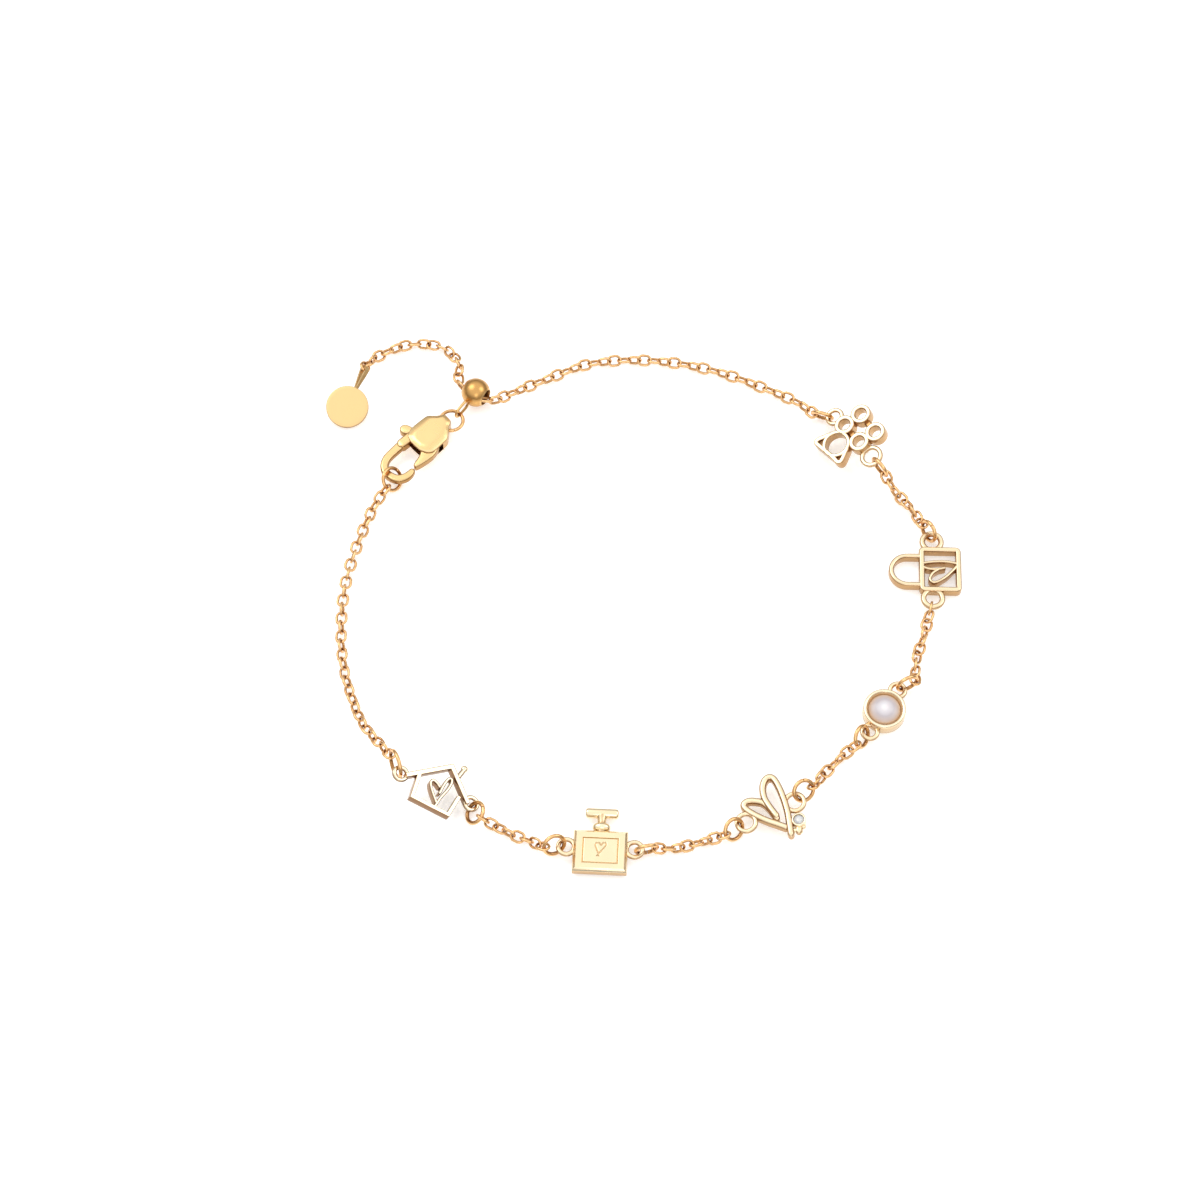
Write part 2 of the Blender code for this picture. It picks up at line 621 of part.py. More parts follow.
def chain(bracelet, name, points, first=None, last=None):
    """A chain from its first loop to its last, links turning evenly between them."""
    route = smooth_path([tuple(p) for p in points], 24)
    half = (LINK_LONG - LINK_WIRE) / 2
    pitch = 2 * inner_half() - SOLDER_GAP
    _, length = along_route(route, [0.0])
    run = length - 2 * half
    spaces = max(1, math.ceil(run / pitch - 0.02))
    centres, _ = along_route(route, half + np.linspace(0.0, run, spaces + 1))
    start_way = Vector(centres[1] - centres[0]).normalized()
    end_way = Vector(centres[-1] - centres[-2]).normalized()
    start = roll_of(first, start_way) if first else 30.0
    step = LINK_TURN
    if last:
        end = roll_of(last, end_way)
        halves = round((start + spaces * LINK_TURN - end) / 180.0)
        step = (end + 180.0 * halves - start) / spaces
    normals = []
    for i, way in enumerate(np.gradient(centres, axis=0)):
        way = Vector(way).normalized()
        side = Vector((0, 0, 1)).cross(way).normalized()
        roll = math.radians(start + i * step)
        normals.append(way.cross(side) * math.cos(roll) + side * math.sin(roll))
    bracelet.add(name, chain_mesh([Vector(c) for c in centres], normals), CHAIN_GOLD)
    return centres, step


def bowed_chain(bracelet, name, start, end):
    """A short stretch of chain that bows a little between two loops."""
    way = (end.centre - start.centre).normalized()
    left = Vector((-way.y, way.x, 0.0)).normalized() * BOWS[name]
    points = []
    for share in (0.3, 0.5, 0.7):
        spot = start.centre.lerp(end.centre, share) + left * (1 - (2 * share - 1) ** 2)
        spot.z = CHAIN_HEIGHT
        points.append(spot)
    leaving, arriving = points[0] - start.centre, end.centre - points[-1]
    points.insert(0, start.hooked(leaving, leaving, LINK_WIRE))
    points.append(end.hooked(-arriving, -arriving, LINK_WIRE))
    chain(bracelet, name, points, start.wire_direction(leaving), end.wire_direction(arriving))


def long_chain(bracelet, name, start, end):
    """A long chain as a tube as wide as its links, with a link where it hooks into a ring.

    It runs from the start loop through its chosen points to the end loop, or on
    through the points that take the end loop's place.
    """
    points = [Vector(p) * MM for p in ROUTES[name]]
    hooks = []
    leaving = points[0] - start.centre
    points.insert(0, start.hooked(leaving, leaving, LINK_WIRE))
    hooks.append((points[0], points[1], start.wire_direction(leaving)))
    if isinstance(end, Loop):
        arriving = end.centre - points[-1]
        points.append(end.hooked(-arriving, -arriving, LINK_WIRE))
        hooks.append((points[-1], points[-2], end.wire_direction(arriving)))
    else:
        points.append(end[0])
    route = smooth_path([tuple(p) for p in points], 24)
    _, length = along_route(route, [0.0])
    first = END_LINK_SHOWS * LINK_LONG
    last = length - (first if len(hooks) == 2 else 0.0)
    spots, _ = along_route(route, np.linspace(first, last, math.ceil((last - first) / (2 * LINK_WIDE)) + 1))
    if not isinstance(end, Loop):
        spots = np.vstack([spots, end[1]])
    curve = bpy.data.curves.new(name, "CURVE")
    curve.dimensions = "3D"
    curve.bevel_depth = LINK_WIDE / 2
    curve.bevel_resolution = 2
    curve.use_fill_caps = True
    line = curve.splines.new("POLY")
    line.points.add(len(spots) - 1)
    for point, spot in zip(line.points, spots):
        point.co = (*spot, 1.0)
    pieces = [take_mesh(tool(curve))]
    for held, towards, normal in hooks:
        way = (towards - held).normalized()
        normal = (normal - way * normal.dot(way)).normalized()
        frame = Matrix((way, normal.cross(way), normal)).transposed().to_4x4()
        middle = held + way * (LINK_LONG - LINK_WIRE) / 2
        pieces.append(moved(link_mesh(), Matrix.Translation(middle) @ frame))
    bracelet.add(name, fuse(pieces), CHAIN_GOLD)


def bottle():
    """Perfume bottle: a chamfered block with a grooved panel, collar, neck and stopper."""
    body = block(BOTTLE_WIDE, BOTTLE_TALL, BOTTLE_THICK, BOTTLE_CHAMFER)
    top = BOTTLE_TALL / 2
    low_neck = top - BOTTLE_CHAMFER
    stopper_y = top + NECK_TALL
    neck = moved(cylinder(NECK_WIDE, stopper_y - low_neck, 10),
                 shift(y=(stopper_y + low_neck) / 2) @ turn(90.0, "X"))
    bpy.ops.mesh.primitive_uv_sphere_add(segments=12, ring_count=6, radius=0.5)
    collar = take_mesh(bpy.context.object)
    collar.transform(shift(y=top + COLLAR_RISE)
                     @ Matrix.Diagonal((COLLAR_WIDE, COLLAR_TALL, COLLAR_THICK, 1.0)))
    bpy.ops.mesh.primitive_cylinder_add(radius=STOPPER_WIRE / 2, depth=STOPPER_LONG, vertices=12)
    thing = bpy.context.object
    rim = thing.modifiers.new("rim", "BEVEL")
    rim.width = STOPPER_CHAMFER
    rim.segments = 1
    rim.limit_method = "ANGLE"
    rim.angle_limit = math.radians(60.0)
    stopper = moved(take_mesh(thing), shift(y=stopper_y) @ turn(90.0, "Y"))
    eye_x = bottle_eye_x()
    eyes = [eye(side * eye_x, BOTTLE_EYE_RISE, BOTTLE_EYE_OUT, z=BOTTLE_EYE_LIFT) for side in (-1, 1)]
    half_w, half_t = PANEL_WIDE / 2, PANEL_TALL / 2
    inner_w, inner_t = half_w - PANEL_GROOVE, half_t - PANEL_GROOVE
    frame = [[(-half_w, -half_t), (half_w, -half_t), (half_w, half_t), (-half_w, half_t)],
             [(-inner_w, -inner_t), (inner_w, -inner_t), (inner_w, inner_t), (-inner_w, inner_t)]]
    groove = moved(slab(frame, 2 * PANEL_DEPTH), shift(z=BOTTLE_THICK / 2))
    return fuse([body, neck, collar, stopper] + eyes, [groove])


def bottle_eye_x():
    """How far a bottle's eye stands from its middle: its wire sunk in the side wall."""
    return BOTTLE_WIDE / 2 + BOTTLE_EYE_OUT / 2 - BOTTLE_EYE_SINK


def house():
    """Small house: an open frame of flat bars with a drawn heart inside."""
    size = HOUSE_SPAN
    pieces = [bar(*scaled(ROOF_LEFT, size), ROOF_WIDE, HOUSE_THICK),
              bar(*scaled(ROOF_RIGHT, size), WALL_WIDE, HOUSE_THICK)]
    walls = scaled(HOUSE_WALLS, size)
    for start, end in zip(walls, walls[1:]):
        pieces.append(bar(start, end, WALL_WIDE, HOUSE_THICK - FACE_STEP))
    pieces.append(bar(*scaled(CHIMNEY, size), CHIMNEY_WIDE, CHIMNEY_WIDE))
    pieces.append(stroke(scaled(HOUSE_HEART_LEFT, size), HOUSE_STROKE, HOUSE_THICK - 2 * FACE_STEP))
    pieces.append(stroke(scaled(HOUSE_HEART_RIGHT, size), HOUSE_STROKE, HOUSE_THICK - 3 * FACE_STEP))
    for spot in (HOUSE_EYE_LEFT, HOUSE_EYE_RIGHT):
        x, y = spot[0] * size, spot[1] * size
        pieces.append(eye(x, y, HOUSE_EYE_OUT, HOUSE_EYE_WIRE))
    return fuse(pieces)


def heart():
    """Open heart of two crossing flat strokes, with a small stone seat beside its tip."""
    size = HEART_TALL
    seat_x, seat_y = STONE_SEAT[0] * size, STONE_SEAT[1] * size
    right = stroke(scaled(HEART_RIGHT, size), HEART_STROKE, HEART_THICK)
    left = moved(stroke(scaled(HEART_LEFT, size), HEART_STROKE, HEART_THICK - HEART_STEP),
                 shift(z=(FACE_STEP - HEART_STEP) / 2))
    post_x, post_y = seat_x + SEAT_POST_PLACE[0], seat_y + SEAT_POST_PLACE[1]
    seat = moved(cylinder(STONE_WIDE + 2 * BEZEL_WALL, SEAT_TALL), shift(seat_x, seat_y))
    post = moved(block(SEAT_POST, SEAT_POST, SEAT_POST_TALL), shift(post_x, post_y, -HEART_STEP / 2))
    tie = bar((seat_x - STONE_WIDE / 2, seat_y), (post_x, post_y), SEAT_TIE_WIDE, SEAT_TIE_TALL)
    eyes = [eye(spot[0] * size, spot[1] * size, HEART_EYE_OUT, z=HEART_EYE_LIFT)
            for spot in (HEART_EYE_LEFT, HEART_EYE_RIGHT)]
    well = moved(cylinder(STONE_WIDE, 2 * STONE_TALL), shift(seat_x, seat_y, SEAT_TALL / 2))
    return fuse([right, left, seat, post, tie] + eyes, [well])


def stone():
    """Round brilliant: eight crown facets about a table, over an eight-sided pavilion."""
    wide = STONE_WIDE - 2 * CLEAR
    girdle, rise = STONE_TALL * STONE_GIRDLE, STONE_TALL * STONE_CROWN
    work = bmesh.new()
    bmesh.ops.create_cone(work, segments=8, radius1=wide / 2, radius2=STONE_TABLE * wide / 2,
                          depth=rise, cap_ends=True)
    bmesh.ops.translate(work, verts=work.verts, vec=(0, 0, girdle + rise / 2))
    crown = bpy.data.meshes.new("crown")
    work.to_mesh(crown)
    work.free()
    work = bmesh.new()
    bmesh.ops.create_cone(work, segments=8, radius1=STONE_TIP * wide / 2, radius2=wide / 2,
                          depth=girdle, cap_ends=True)
    bmesh.ops.translate(work, verts=work.verts, vec=(0, 0, girdle / 2 + FACE_STEP / 4))
    pavilion = bpy.data.meshes.new("pavilion")
    work.to_mesh(pavilion)
    work.free()
    return fuse([crown, pavilion])


def pearl_bezel():
    """Round cup with a thin rim for the pearl, and an eye at either side."""
    inner = PEARL_BEZEL_WIDE / 2 - PEARL_BEZEL_WALL
    cup = cylinder(PEARL_BEZEL_WIDE, PEARL_BEZEL_TALL, 20)
    depth = PEARL_BEZEL_TALL - PEARL_BEZEL_FLOOR
    well = moved(cylinder(2 * inner, 2 * depth, 20), shift(z=PEARL_BEZEL_TALL / 2))
    eyes = [eye(spot.x, spot.y, PEARL_EYE_OUT) for spot in pearl_eyes()]
    return fuse([cup] + eyes, [well])


def pearl():
    """Round pearl, flattened below where it is glued into its cup."""
    radius = PEARL_BEZEL_WIDE / 2 - PEARL_BEZEL_WALL - CLEAR
    bpy.ops.mesh.primitive_uv_sphere_add(segments=14, ring_count=10, radius=1.0)
    ball = take_mesh(bpy.context.object)
    floor = -PEARL_BEZEL_TALL / 2 + PEARL_BEZEL_FLOOR + CLEAR
    top = PEARL_BEZEL_TALL / 2 + PEARL_LIP
    tall = (top - floor) * PEARL_DOME
    ball.transform(shift(z=top - tall) @ Matrix.Diagonal((radius, radius, tall, 1.0)))
    base = moved(block(4 * radius, 4 * radius, 2 * tall), shift(z=floor - tall))
    return fuse([ball], [base])


def padlock():
    """Padlock: an open square frame with a scribbled heart, a bow and two eyes."""
    x, y = LOCK_WIDE / 2, LOCK_TALL / 2
    u, v = x - LOCK_BAR, y - LOCK_BAR
    frame = slab([[(-x, -y), (x, -y), (x, y), (-x, y)], [(-u, -v), (u, -v), (u, v), (-u, v)]], LOCK_THICK)
    outer = SHACKLE_WIDE / 2
    bend_x = -x - SHACKLE_REACH + outer
    bend = outer - SHACKLE_BAR / 2
    arc = [(bend_x - bend * math.sin(a), SHACKLE_SHIFT + bend * math.cos(a))
           for a in np.linspace(0.0, math.pi, 11)]
    root = -x + LOCK_BAR / 2
    bow_path = [(root, arc[0][1])] + arc + [(root, arc[-1][1])]
    bow = stroke(bow_path, SHACKLE_BAR, LOCK_THICK - FACE_STEP, per_span=1)
    shares = [[(px * x, py * y) for px, py in points] for points in (LOCK_HEART_UPPER, LOCK_HEART_LOWER)]
    upper = stroke(shares[0], LOCK_STROKE, LOCK_THICK - 2 * FACE_STEP)
    lower = stroke(shares[1], LOCK_STROKE, LOCK_THICK - 3 * FACE_STEP)
    eyes = [eye(-LOCK_EYE_SHIFT, side * lock_eye_y(), LOCK_EYE_OUT, LOCK_EYE_WIRE, LOCK_EYE_LIFT)
            for side in (-1, 1)]
    return fuse([frame, bow, upper, lower] + eyes)


def lock_eye_y():
    """How far a padlock's eye stands from its middle: most of it clear of the frame."""
    return LOCK_TALL / 2 + LOCK_EYE_OUT / 2 - EYE_SINK * LOCK_EYE_WIRE


def cluster_eye_place(tube, heading, wide, lap):
    """An eye's middle: out from its tube by both their halves, less the lap."""
    reach = (TUBE_OUT + wide) / 2 - lap
    turned = math.radians(heading)
    return (TUBES[tube][0] * CLUSTER_SPAN + reach * math.cos(turned),
            TUBES[tube][1] * CLUSTER_SPAN + reach * math.sin(turned))


def cluster():
    """Four small tubes and a larger eared ring, fused side to side."""
    size = CLUSTER_SPAN
    spots = scaled(TUBES, size)
    pieces = [moved(cylinder(TUBE_OUT, CLUSTER_THICK - FACE_STEP * i, 14), shift(*spot))
              for i, spot in enumerate(spots)]
    ring_x, ring_y = EARED_RING[0] * size, EARED_RING[1] * size
    pieces.append(moved(cylinder(EARED_OUT, CLUSTER_THICK - FACE_STEP * 5), shift(ring_x, ring_y)))
    holes = [scaled(hole, size) for hole in EAR_HOLES]
    pieces.append(slab([scaled(EAR_PLATE, size)] + holes, CLUSTER_THICK - FACE_STEP * 6))
    for a, b in ((0, 2), (1, 3)):
        pieces.append(moved(bar(spots[a], spots[b], BRIDGE_WIDE, BRIDGE_TALL), shift(z=-BRIDGE_DROP)))
    for row in CLUSTER_EYES:
        pieces.append(eye(*cluster_eye_place(*row), row[2], z=-CLUSTER_EYE_DROP))
    cuts = [moved(cylinder(TUBE_HOLE, 2 * CLUSTER_THICK, 12), shift(*spot)) for spot in spots]
    cuts.append(moved(cylinder(EARED_HOLE, 2 * CLUSTER_THICK), shift(ring_x, ring_y)))
    return fuse(pieces, cuts)


def tag():
    """Plain disc with a folded strap for a bail, soldered on at its edge."""
    disc = cylinder(TAG_WIDE, TAG_THICK, 20)
    strap = moved(slab([bail_outline(0.0), bail_outline(BAIL_STRAP)], BAIL_WIDE), turn(90.0, "X"))
    for v in strap.vertices:
        v.co.y *= BAIL_ROOT + (1 - BAIL_ROOT) * min(1.0, v.co.x / (BAIL_LONG - BAIL_DEEP))
    strap.transform(turn(BAIL_ANGLE, "Z") @ shift(x=TAG_WIDE / 2 - BAIL_STRAP) @ turn(BAIL_TWIST, "X"))
    return fuse([disc, strap])


def bail_outline(inset):
    """The bail's teardrop side view: narrow where it is soldered, round at the far end."""
    bend = BAIL_DEEP / 2
    middle = BAIL_LONG - bend
    radius = bend - inset
    root = 2.2 * inset
    low = BAIL_STRAP - inset * 0.75
    arc = [(middle + radius * math.cos(a), radius * math.sin(a))
           for a in np.linspace(-math.pi * 0.55, math.pi * 0.55, 9)]
    return [(root, -low)] + arc + [(root, low)]


def bead():
    """Ball bead with a bore for the chain and a wire eye soldered to its side."""
    bpy.ops.mesh.primitive_uv_sphere_add(segments=16, ring_count=12, radius=BEAD_WIDE / 2)
    ball = moved(take_mesh(bpy.context.object), turn(90.0, "X"))
    bore = moved(cylinder(BEAD_BORE, 2 * BEAD_WIDE, 12),
                 turn(BEAD_BORE_HEADING - BEAD_TO_CLASP, "Z") @ turn(90.0, "Y"))
    loop = torus(BEAD_EYE_WIDE, BEAD_EYE_WIRE)
    stretch = (BEAD_EYE_LONG - BEAD_EYE_WIDE) / 2
    for v in loop.vertices:
        v.co.x += math.copysign(stretch, v.co.x)
    loop.transform(shift(x=bead_eye_x()) @ turn(90.0, "X"))
    return fuse([ball, loop], [bore])


def bead_eye_x():
    """From the bead's middle to its eye's middle, the eye sunk in the ball."""
    return BEAD_WIDE / 2 + BEAD_EYE_LONG / 2 - EYE_SINK * BEAD_EYE_WIRE


def rounded_slab(outline, thick, rounding):
    """A slab whose top and bottom edges are rounded over."""
    thing = tool(slab([outline], thick))
    edge = thing.modifiers.new("round", "BEVEL")
    edge.width = rounding
    edge.segments = 2
    edge.limit_method = "ANGLE"
    edge.angle_limit = math.radians(60.0)
    return take_mesh(thing)


def clasp_body():
    """Lobster clasp: a thick body and a thinner hook, slotted for the lever."""
    size = CLASP_LONG
    body = rounded_slab(scaled(CLASP_BODY, size), CLASP_THICK, CLASP_ROUND)
    hook = rounded_slab(scaled(CLASP_HOOK, size), HOOK_THICK, CLASP_ROUND)
    shoulder = slab([scaled(CLASP_SHOULDER, size)], SHOULDER_THICK)
    slot = slab([scaled(CLASP_SLOT, size)], LEVER_THICK + 2 * CLEAR)
    tunnel = moved(torus(CLASP_RING_OUT + 2 * TAIL_PLAY, CLASP_RING_WIRE + 2 * TAIL_PLAY, 14),
                   shift(TAIL_RING[0] * size, TAIL_RING[1] * size))
    pin = moved(cylinder(PIVOT_PIN, PIVOT_LONG, 12),
                shift(LEVER_PIVOT[0] * size, LEVER_PIVOT[1] * size))
    shell = fuse([body, hook, shoulder], [slot, tunnel])
    return fuse([shell, pin])


def clasp_lever():
    """The lever: a gate arm that shuts the hook and a thumb tab, about one pivot."""
    size = CLASP_LONG
    px, py = LEVER_PIVOT[0] * size, LEVER_PIVOT[1] * size
    arm = slab([scaled(CLASP_LEVER, size)], LEVER_THICK)
    hole = moved(cylinder(PIVOT_PIN + 2 * PIVOT_PLAY, 2 * LEVER_THICK, 12), shift(px, py))
    return moved(fuse([arm], [hole]), shift(-px, -py))


def build():
    """Make every piece, from the clasp round the loop and back."""
    clear_scene()
    bracelet = Bracelet()

    clasp_at = bracelet.lay("clasp_body", clasp_body(), CLASP_GOLD, PLACES["clasp_body"], CLASP_LIFT)
    size = CLASP_LONG
    pivot = clasp_at @ shift(LEVER_PIVOT[0] * size, LEVER_PIVOT[1] * size)
    bracelet.add("clasp_lever", clasp_lever(), CLASP_GOLD, pivot)

    tail_at = clasp_at @ shift(TAIL_RING[0] * size, TAIL_RING[1] * size)
    tail_loop = loop_of(tail_at, 0.0, 0.0, CLASP_RING_OUT, CLASP_RING_WIRE)
    bracelet.add("clasp_ring", torus(CLASP_RING_OUT, CLASP_RING_WIRE, 14), CLASP_GOLD, tail_at)

    from_clasp = -heading(BEAD_TO_CLASP)
    held = tail_loop.hooked(from_clasp, from_clasp, BEAD_EYE_WIRE)
    reach = bead_eye_x() + (BEAD_EYE_LONG - BEAD_EYE_WIRE) / 2
    fall = math.degrees(math.asin((BEAD_WIDE / 2 + FLOOR_GAP - held.z) / reach))
    bead_middle = held - heading(BEAD_TO_CLASP, -fall) * reach
    bracelet.add("slider_bead", bead(), CLASP_GOLD,
                 Matrix.Translation(bead_middle) @ turn(BEAD_TO_CLASP, "Z") @ turn(fall, "Y"))

    tag_at = bracelet.lay("tag_disc", tag(), CLASP_GOLD, TAG_PLACE)
    bail_turn = turn(BAIL_ANGLE, "Z") @ shift(x=TAG_WIDE / 2 - BAIL_STRAP) @ turn(BAIL_TWIST, "X")
    bail_frame = tag_at @ bail_turn
    bail_loop = Loop(bail_frame @ Vector((BAIL_LONG - BAIL_DEEP / 2, 0, 0)),
                     bail_frame.to_3x3() @ Vector((0, 1, 0)), BAIL_DEEP - BAIL_STRAP + BAIL_WIDE, BAIL_WIDE)

    bore = heading(BEAD_BORE_HEADING)
    bead_end = bore * (BEAD_WIDE / 2 + BEAD_STRAIGHT)
    tail_points = [bead_middle + bore * CLEAR, bead_middle + bead_end]
    tail_points += [Vector(p) * MM for p in ROUTES["tail_chain"]]
    tail_way = bail_loop.centre - tail_points[-1]
    tail_points.append(bail_loop.hooked(-tail_way, -tail_way, LINK_WIRE))
    chain(bracelet, "tail_chain", tail_points, None, bail_loop.wire_direction(tail_way))

    hook_at = clasp_at @ Vector((HOOK_BEND[0] * size, HOOK_BEND[1] * size, 0.0))
    way, rise, roll = HOOK_RING_PLACE
    hook_loop = lay_ring(bracelet, "hook_ring", hook_at, way + PLACES["clasp_body"][4], rise, roll,
                         HOOK_RING_OUT, CLASP_RING_WIRE)

    size = HOUSE_SPAN
    at = bracelet.lay("house_charm", house(), CHARM_GOLD, PLACES["house_charm"], HOUSE_LIFT)
    left = loop_of(at, HOUSE_EYE_LEFT[0] * size, HOUSE_EYE_LEFT[1] * size, HOUSE_EYE_OUT, HOUSE_EYE_WIRE)
    right = loop_of(at, HOUSE_EYE_RIGHT[0] * size, HOUSE_EYE_RIGHT[1] * size, HOUSE_EYE_OUT, HOUSE_EYE_WIRE)
    house_left = jump_ring(bracelet, "house_ring_left", left, HOUSE_RING_OUT)
    house_right = jump_ring(bracelet, "house_ring_right", right)

    long_chain(bracelet, "left_chain", hook_loop, house_left)

    at = bracelet.lay("bottle_charm", bottle(), CHARM_GOLD, PLACES["bottle_charm"])
    eye_x = bottle_eye_x()
    eyes = [loop_of(at, side * eye_x, BOTTLE_EYE_RISE, BOTTLE_EYE_OUT, z=BOTTLE_EYE_LIFT)
            for side in (-1, 1)]
    bottle_left = jump_ring(bracelet, "bottle_ring_left", eyes[0])
    bottle_right = jump_ring(bracelet, "bottle_ring_right", eyes[1])
    bowed_chain(bracelet, "house_bottle_chain", house_right, bottle_left)

    size = HEART_TALL
    at = bracelet.lay("heart_charm", heart(), CHARM_GOLD, PLACES["heart_charm"], HEART_LIFT)
    seat_z = SEAT_TALL / 2 - STONE_TALL + CLEAR
    bracelet.add("heart_stone", stone(), ("stone", (0.95, 0.97, 1.0), 0.05, 0.0),
                 at @ shift(STONE_SEAT[0] * size, STONE_SEAT[1] * size, seat_z), 10.0)
    eyes = [loop_of(at, spot[0] * size, spot[1] * size, HEART_EYE_OUT, z=HEART_EYE_LIFT)
            for spot in (HEART_EYE_LEFT, HEART_EYE_RIGHT)]
    heart_left = jump_ring(bracelet, "heart_ring_left", eyes[0])
    heart_right = jump_ring(bracelet, "heart_ring_right", eyes[1])
    bowed_chain(bracelet, "bottle_heart_chain", bottle_right, heart_left)

    at = bracelet.lay("pearl_bezel", pearl_bezel(), CHARM_GOLD, PLACES["pearl_bezel"])
    bracelet.add("pearl", pearl(), ("pearl", (0.88, 0.82, 0.80), 0.25, 0.0), at)
    spots = pearl_eyes()
    pearl_right = jump_ring(bracelet, "pearl_ring_right", loop_of(at, spots[0].x, spots[0].y, PEARL_EYE_OUT))
    pearl_left = jump_ring(bracelet, "pearl_ring_left", loop_of(at, spots[1].x, spots[1].y, PEARL_EYE_OUT))
    bowed_chain(bracelet, "heart_pearl_chain", heart_right, pearl_left)

    at = bracelet.lay("padlock_charm", padlock(), CHARM_GOLD, PLACES["padlock_charm"])
    lower, upper = [loop_of(at, -LOCK_EYE_SHIFT, side * lock_eye_y(), LOCK_EYE_OUT, LOCK_EYE_WIRE,
                            LOCK_EYE_LIFT) for side in (-1, 1)]
    lock_ring = jump_ring(bracelet, "padlock_ring", upper)
    bowed_chain(bracelet, "pearl_padlock_chain", pearl_right, lower)

    at = bracelet.lay("cluster_charm", cluster(), CHARM_GOLD, PLACES["cluster_charm"])
    eyes = [loop_of(at, *cluster_eye_place(*row), row[2], z=-CLUSTER_EYE_DROP) for row in CLUSTER_EYES]
    cluster_left = jump_ring(bracelet, "cluster_ring_left", eyes[0])
    cluster_right = jump_ring(bracelet, "cluster_ring_right", eyes[1])
    bowed_chain(bracelet, "padlock_cluster_chain", lock_ring, cluster_right)

    ends = [bead_middle - bead_end, bead_middle - bore * CLEAR]
    long_chain(bracelet, "back_chain", cluster_left, ends)


if __name__ == "__main__":
    build()
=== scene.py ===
"""A fine gold charm bracelet, lying open on a white table."""
import math

import bpy
import numpy as np
from mathutils import Euler, Matrix, Vector


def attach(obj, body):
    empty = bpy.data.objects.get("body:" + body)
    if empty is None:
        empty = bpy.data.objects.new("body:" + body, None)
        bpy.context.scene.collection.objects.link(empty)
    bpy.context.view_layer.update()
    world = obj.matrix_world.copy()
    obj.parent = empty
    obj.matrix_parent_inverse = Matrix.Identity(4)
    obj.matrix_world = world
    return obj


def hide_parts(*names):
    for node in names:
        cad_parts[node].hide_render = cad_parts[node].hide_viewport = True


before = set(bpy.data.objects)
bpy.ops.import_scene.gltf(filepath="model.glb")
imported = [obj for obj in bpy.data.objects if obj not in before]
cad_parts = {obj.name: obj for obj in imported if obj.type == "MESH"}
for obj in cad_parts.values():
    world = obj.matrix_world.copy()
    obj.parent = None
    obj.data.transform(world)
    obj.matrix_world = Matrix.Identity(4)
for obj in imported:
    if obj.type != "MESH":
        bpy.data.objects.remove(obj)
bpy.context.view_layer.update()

# Cable chain
# Oval links of round gold plated brass wire, bent, threaded one through the
# next and soldered shut. Eight strands of it run between the jump rings, and
# the last one ends in the tag's bail.
MM = 0.001
LINK_LONG, LINK_WIDE, LINK_WIRE = 1.84 * MM, 1.50 * MM, 0.33 * MM
LINK_PITCH = 1.208 * MM
LINK_SIDES, LINK_AROUND = 14, 6

# Points along each strand in mm, the first link's roll and the roll from link to
# link in degrees, and how many links there are, where that is known.
STRANDS = {
    "tail_chain": (((-19.454, 26.929, 1.72), (-21.28, 28.026, 1.72), (-21.4, 30.585, 1.55),
        (-22.0, 32.135, 1.15), (-23.25, 33.585, 0.78), (-25.25, 34.245, 0.76), (-27.75, 34.105, 0.76),
        (-30.05, 33.185, 0.78), (-31.65, 31.985, 0.95), (-32.776, 29.489, 2.771)), 30.0, 63.924, None),
    "left_chain": (((-29.295, 14.46, 1.226), (-30.75, 12.135, 0.9), (-32.0, 9.035, 0.8),
        (-33.27, 4.715, 0.78), (-34.02, 0.765, 0.78), (-34.22, -3.165, 0.78), (-34.05, -7.065, 0.78),
        (-33.39, -10.865, 0.78), (-31.95, -15.165, 1.0), (-30.75, -17.565, 1.6),
        (-27.674, -21.801, 3.128)), 138.88, 86.0, 33),
    "house_bottle_chain": (((-18.224, -28.115, 1.605), (-16.04, -29.189, 0.78), (-14.321, -30.086, 0.76),
        (-12.528, -30.823, 0.76), (-10.353, -32.174, 1.665)), -119.66, 71.517, None),
    "bottle_heart_chain": (((1.134, -31.96, 1.296), (3.463, -31.757, 0.76), (5.416, -31.326, 0.76),
        (7.332, -30.755, 0.76), (9.693, -30.235, 1.411)), 175.12, 57.196, None),
    "heart_pearl_chain": (((18.707, -25.188, 2.186), (19.893, -23.188, 0.76), (21.229, -21.765, 0.76),
        (22.588, -20.364, 0.76), (24.438, -19.012, 1.356)), -151.14, 50.775, None),
    "pearl_padlock_chain": (((30.942, -11.807, 1.454), (31.258, -8.439, 0.76), (31.99, -6.18, 0.76),
        (32.661, -3.902, 0.76), (33.408, -1.011, 0.887)), 166.64, 51.485, None),
    "padlock_cluster_chain": (((33.01, 8.691, 1.281), (32.04, 10.649, 0.81), (30.998, 12.243, 0.80),
        (29.864, 13.772, 0.81), (28.396, 15.534, 2.403)), 169.25, 54.306, None),
    "back_chain": (((20.931, 23.992, 1.216), (18.55, 26.135, 0.8), (14.85, 28.035, 0.78),
        (9.65, 30.235, 0.78), (4.25, 31.585, 0.78), (-1.07, 31.985, 0.78), (-6.15, 31.385, 0.78),
        (-10.65, 29.435, 0.8), (-14.25, 27.635, 1.0), (-17.422, 25.709, 1.72),
        (-18.6, 26.42, 1.72)), -156.5, 60.0, 36),
}


